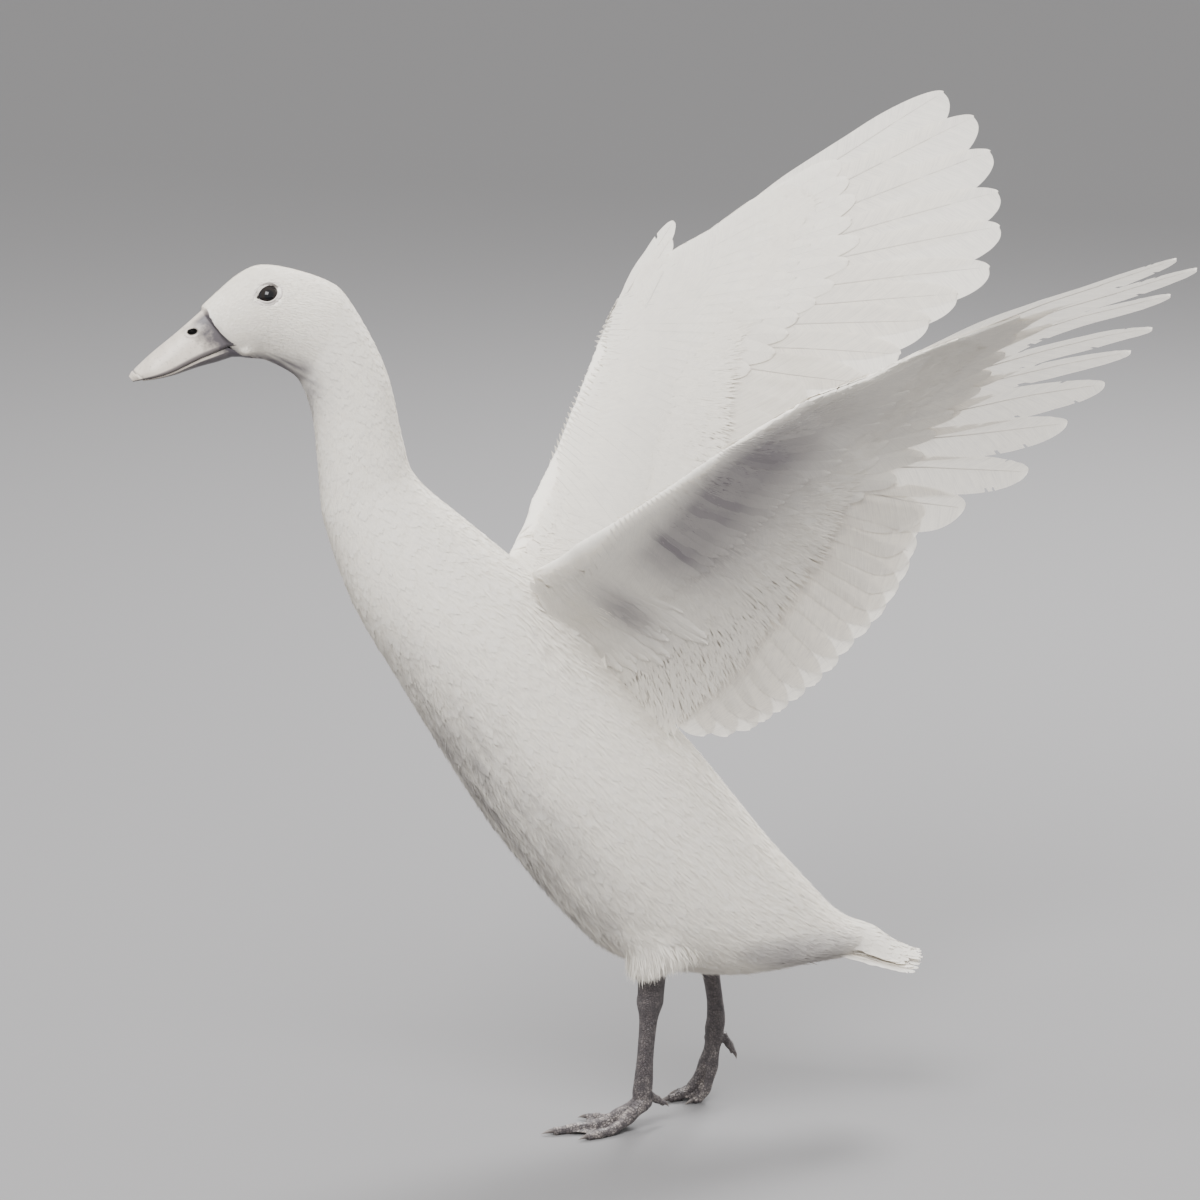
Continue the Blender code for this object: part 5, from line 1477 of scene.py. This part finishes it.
def make_scaly():
    """Scaly skin, marked by its Scales map: run along the limb, and distance round it from its front line, in mm."""
    material, tree, shader = new_material("leg_skin", 0.5)
    place = object_place(tree)
    run, around, _ = parts_of(tree, uv_map(tree, "Scales"))
    middle = calc(tree, "PINGPONG", calc(tree, "FRACT", run), 0.5)
    front = ramp(tree, calc(tree, "ABSOLUTE", around), 4.2, 3.4)
    cells = add(tree, "ShaderNodeTexVoronoi", set_feature="DISTANCE_TO_EDGE", Vector=place, Scale=620.0)
    small = ramp(tree, cells.outputs["Distance"], 0.02, 0.16)
    height = add(tree, "ShaderNodeMix", i0=front, i2=small, i3=ramp(tree, middle, 0.0, 0.14)).outputs[0]
    cloud = noise(tree, place, 210.0, 5.0, 0.65)
    tone = blend(tree, cloud, (0.030, 0.025, 0.030, 1), (0.125, 0.105, 0.105, 1))
    low = ramp(tree, parts_of(tree, place)["Z"], 0.040, 0.012, 0.25, 1.0)
    wear = calc(tree, "MULTIPLY", ramp(tree, cloud, 0.46, 0.66, 0.0, 0.55), low)
    tone = blend(tree, calc(tree, "MULTIPLY", wear, height), tone, (0.46, 0.41, 0.37, 1))
    groove = ramp(tree, height, 0.0, 0.6, 0.55, 1.0)
    tone = add(tree, "ShaderNodeVectorMath", set_operation="SCALE", i0=tone, Scale=groove).outputs[0]
    paint(tree, shader, tone, height, 0.8, 0.0005)
    return material


def make_claw_cover():
    """Dark horn with fine lengthwise streaks, paler at the tip."""
    material, tree, shader = new_material("claw", 0.35)
    along, around, _ = parts_of(tree, uv_map(tree, "Claw"))
    run = add(tree, "ShaderNodeCombineXYZ", X=along, Y=calc(tree, "MULTIPLY", around, 7.0)).outputs[0]
    tone = blend(tree, along, (0.060, 0.050, 0.052, 1), (0.22, 0.19, 0.17, 1))
    streak = ramp(tree, noise(tree, run, 3.0, 3.0), 0.4, 0.7, 0.0, 0.5)
    paint(tree, shader, blend(tree, streak, tone, (0.035, 0.030, 0.032, 1)))
    return material


def limb_rings(points, radii, count, sides):
    """Rings along a limb, and its middle line with the way its front faces."""
    last = len(points) - 1
    at = np.linspace(0, last, count)
    centre = along_curve(points, at)
    step = unit(np.gradient(centre, axis=0))
    across = unit(np.cross(step, np.array((1.0, 0.0, 0.0)) if step[0, 2] < -0.9 else np.array((0.0, 0.0, 1.0))))
    up = np.cross(across, step)
    size = along_curve([row if isinstance(row, tuple) else (row, row) for row in radii], at)
    turn = full_turn(sides)
    rings = centre[:, None] + up[:, None] * (size[:, :1] * np.cos(turn))[..., None]
    rings = rings + across[:, None] * (size[:, 1:] * np.sin(turn))[..., None]
    return rings, centre, up, across


def web_points(first, second):
    """Points and faces of the thin skin between two toes, its free edge hollowed."""
    across = np.linspace(0, 1, WEB_COLUMNS)[None, :]
    reach = 0.93 - WEB_HOLLOW * 4 * across * (1 - across)
    at = np.linspace(0, 1, WEB_ROWS)[:, None] * reach * 4
    a = along_curve(first, at.ravel())
    b = along_curve(second, at.ravel())
    share = np.broadcast_to(across, at.shape).ravel()[:, None]
    middle = a * (1 - share) + b * share
    deep = np.broadcast_to(np.linspace(0, 1, WEB_ROWS)[:, None], at.shape).ravel()
    middle[:, 2] -= WEB_SAG * 4 * (share * (1 - share)).ravel() * deep
    middle = middle.reshape(WEB_ROWS, WEB_COLUMNS, 3)
    out = unit(np.cross(np.gradient(middle, axis=0), np.gradient(middle, axis=1)))
    rings = np.concatenate([middle + out * WEB_THICK / 2, (middle - out * WEB_THICK / 2)[:, ::-1]], axis=1)
    return loft(rings)


leg_cover = make_scaly()
claw_cover = make_claw_cover()
for side in ("left", "right"):
    parts = []
    lines = []
    limbs = [(LEG_ROWS[side], LEG_RADII, 70, 32)]
    limbs += [(toe, radii, 60, 20) for toe, radii in zip(TOES[side], TOE_RADII)]
    for number, (points, radii, count, sides) in enumerate(limbs):
        rings, centre, up, across = limb_rings(points, radii, count, sides)
        if number > 0:  # a toe swells a little at its joints and ends bluntly under the claw
            joints = 1 + 0.08 * np.cos(2 * pi * np.linspace(0, len(points) - 1, count))
            rings = centre[:, None] + (rings - centre[:, None]) * joints[:, None, None]
            end = centre[-1] + (centre[-1] - centre[-2]) * 0.5
            rings = np.concatenate([rings, (rings[-1:] - centre[-1]) * 0.6 + end])
        parts.append(loft(rings))
        lines.append((centre, up, across))
    joint = np.array(LEG_ROWS[side][-2], float) + (0, 0, -5.6)
    turn = full_turn(24)
    parts.append(loft([joint + np.stack([6.8 * sin(polar) * np.cos(turn), 6.2 * sin(polar) * np.sin(turn),
                                         np.full(24, 5.2 * cos(polar))], 1)
                       for polar in np.linspace(0.15, pi - 0.15, 14)]))
    parts.append(web_points(TOES[side][0], TOES[side][1]))
    parts.append(web_points(TOES[side][0], TOES[side][2]))
    limb = new_piece("leg_and_foot_" + side, *join(parts), leg_cover)
    melt(limb, FOOT_GRAIN, 3)
    places = read_points(limb)
    lowest = -SHIFT[2] + 0.05  # just over the floor
    places[:, 2] = np.maximum(places[:, 2], lowest)
    # Each point of the skin takes the nearest middle line: how far along it, and how far round from its front.
    best = np.full(len(places), 1e9)
    marks = np.zeros((len(places), 2))
    for number, (centre, up, across) in enumerate(lines):
        is_leg = number == 0
        away = places[:, None] - centre[None]
        distance = np.linalg.norm(away, axis=2)
        near = distance.argmin(1)
        reach = distance[np.arange(len(places)), near]
        off = away[np.arange(len(places)), near]
        turn = np.arctan2((off * across[near]).sum(1), (off * up[near]).sum(1))
        run = np.concatenate([[0], np.cumsum(np.linalg.norm(np.diff(centre, axis=0), axis=1))])
        closer = reach < best
        best[closer] = reach[closer]
        scale_length = 3.2 if is_leg else 2.3
        mark = np.stack([run[near] / scale_length + number * 0.37, turn * reach * (1.0 if is_leg else 1.5)], 1)
        marks[closer] = mark[closer]
    write_points(limb, places)
    write_map(limb, "Scales", marks)
    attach(limb, "root")
    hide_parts("leg_" + side, "foot_" + side)
    for number, (toe, radii, length) in enumerate(zip(TOES[side], TOE_RADII, CLAW_LENGTH), start=1):
        before, tip = np.array(toe[-2], float), np.array(toe[-1], float)
        step = unit(tip - before)
        across = unit(np.cross(step, (0, 0, 1)))
        up = np.cross(across, step)
        rings = []
        turn = full_turn(CLAW_SIDES)
        for share in np.linspace(-0.15, 1, CLAW_ROWS):
            size = max(radii[-1] * 0.66 * (1 - max(share, 0) ** 1.5), 0.22)
            centre = tip + step * (0.35 + length * share) + up * (0.5 + 0.5 * share - 1.4 * share * share)
            centre[2] = max(centre[2], lowest + size)
            rings.append(centre + (across * np.cos(turn)[:, None] * size * 0.85 + up * np.sin(turn)[:, None] * size))
        points, faces = loft(rings)
        claw = new_piece(f"claw_horn_{side}_{number}", points, faces, claw_cover)
        marks = np.stack([np.repeat(np.linspace(0, 1, CLAW_ROWS), CLAW_SIDES),
                          np.tile(np.linspace(0, 1, CLAW_SIDES), CLAW_ROWS)], 1)
        write_map(claw, "Claw", np.vstack([marks, (0, 0), (1, 0)]))
        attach(claw, "root")
        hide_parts(f"claw_{side}_{number}")

# Stage: grey floor, a large soft light above and behind the camera, and another high on the far side.
floor_paint, _, floor_shader = new_material("floor", 0.9)
floor_shader.inputs["Base Color"].default_value = (0.185, 0.182, 0.185, 1.0)
floor_mesh = bpy.data.meshes.new("floor")
floor_mesh.from_pydata([(-30, -30, 0), (30, -30, 0), (30, 30, 0), (-30, 30, 0)], [], [(0, 1, 2, 3)])
floor_mesh.materials.append(floor_paint)
floor = put("floor", floor_mesh)

world = bpy.data.worlds.new("studio")
world.use_nodes = True
world.node_tree.nodes["Background"].inputs["Color"].default_value = (0.79, 0.785, 0.78, 1.0)
world.node_tree.nodes["Background"].inputs["Strength"].default_value = 1.6
bpy.context.scene.world = world


def add_light(name, place, power, size):
    lamp = bpy.data.lights.new(name, "AREA")
    lamp.energy = power
    lamp.size = size
    holder = put(name, lamp)
    holder.location = place
    holder.rotation_euler = (Vector((0, 0, 0.3)) - Vector(place)).to_track_quat("-Z", "Y").to_euler()


add_light("key", (-0.9, -1.6, 2.6), 155, 1.6)
add_light("back", (1.4, 1.9, 2.4), 175, 1.2)

VIEW_TURN = radians(-12)
VIEW_RISE = radians(12)
VIEW_DISTANCE = 3.0
VIEW_TARGET = Vector(in_metres((0.0, 0.0, 346.5)))
PICTURE_WIDTH = 1200  # pixels
PIXEL = 0.00063  # metres that one pixel covers at the target
SENSOR_WIDTH = 36.0
away = Vector((sin(VIEW_TURN) * cos(VIEW_RISE), -cos(VIEW_TURN) * cos(VIEW_RISE), sin(VIEW_RISE)))
camera_data = bpy.data.cameras.new("camera")
camera_data.sensor_width = SENSOR_WIDTH
camera_data.lens = SENSOR_WIDTH * VIEW_DISTANCE / PIXEL / PICTURE_WIDTH
camera = put("camera", camera_data)
camera.location = VIEW_TARGET + away * VIEW_DISTANCE
camera.rotation_euler = away.to_track_quat("Z", "Y").to_euler()
bpy.context.scene.camera = camera
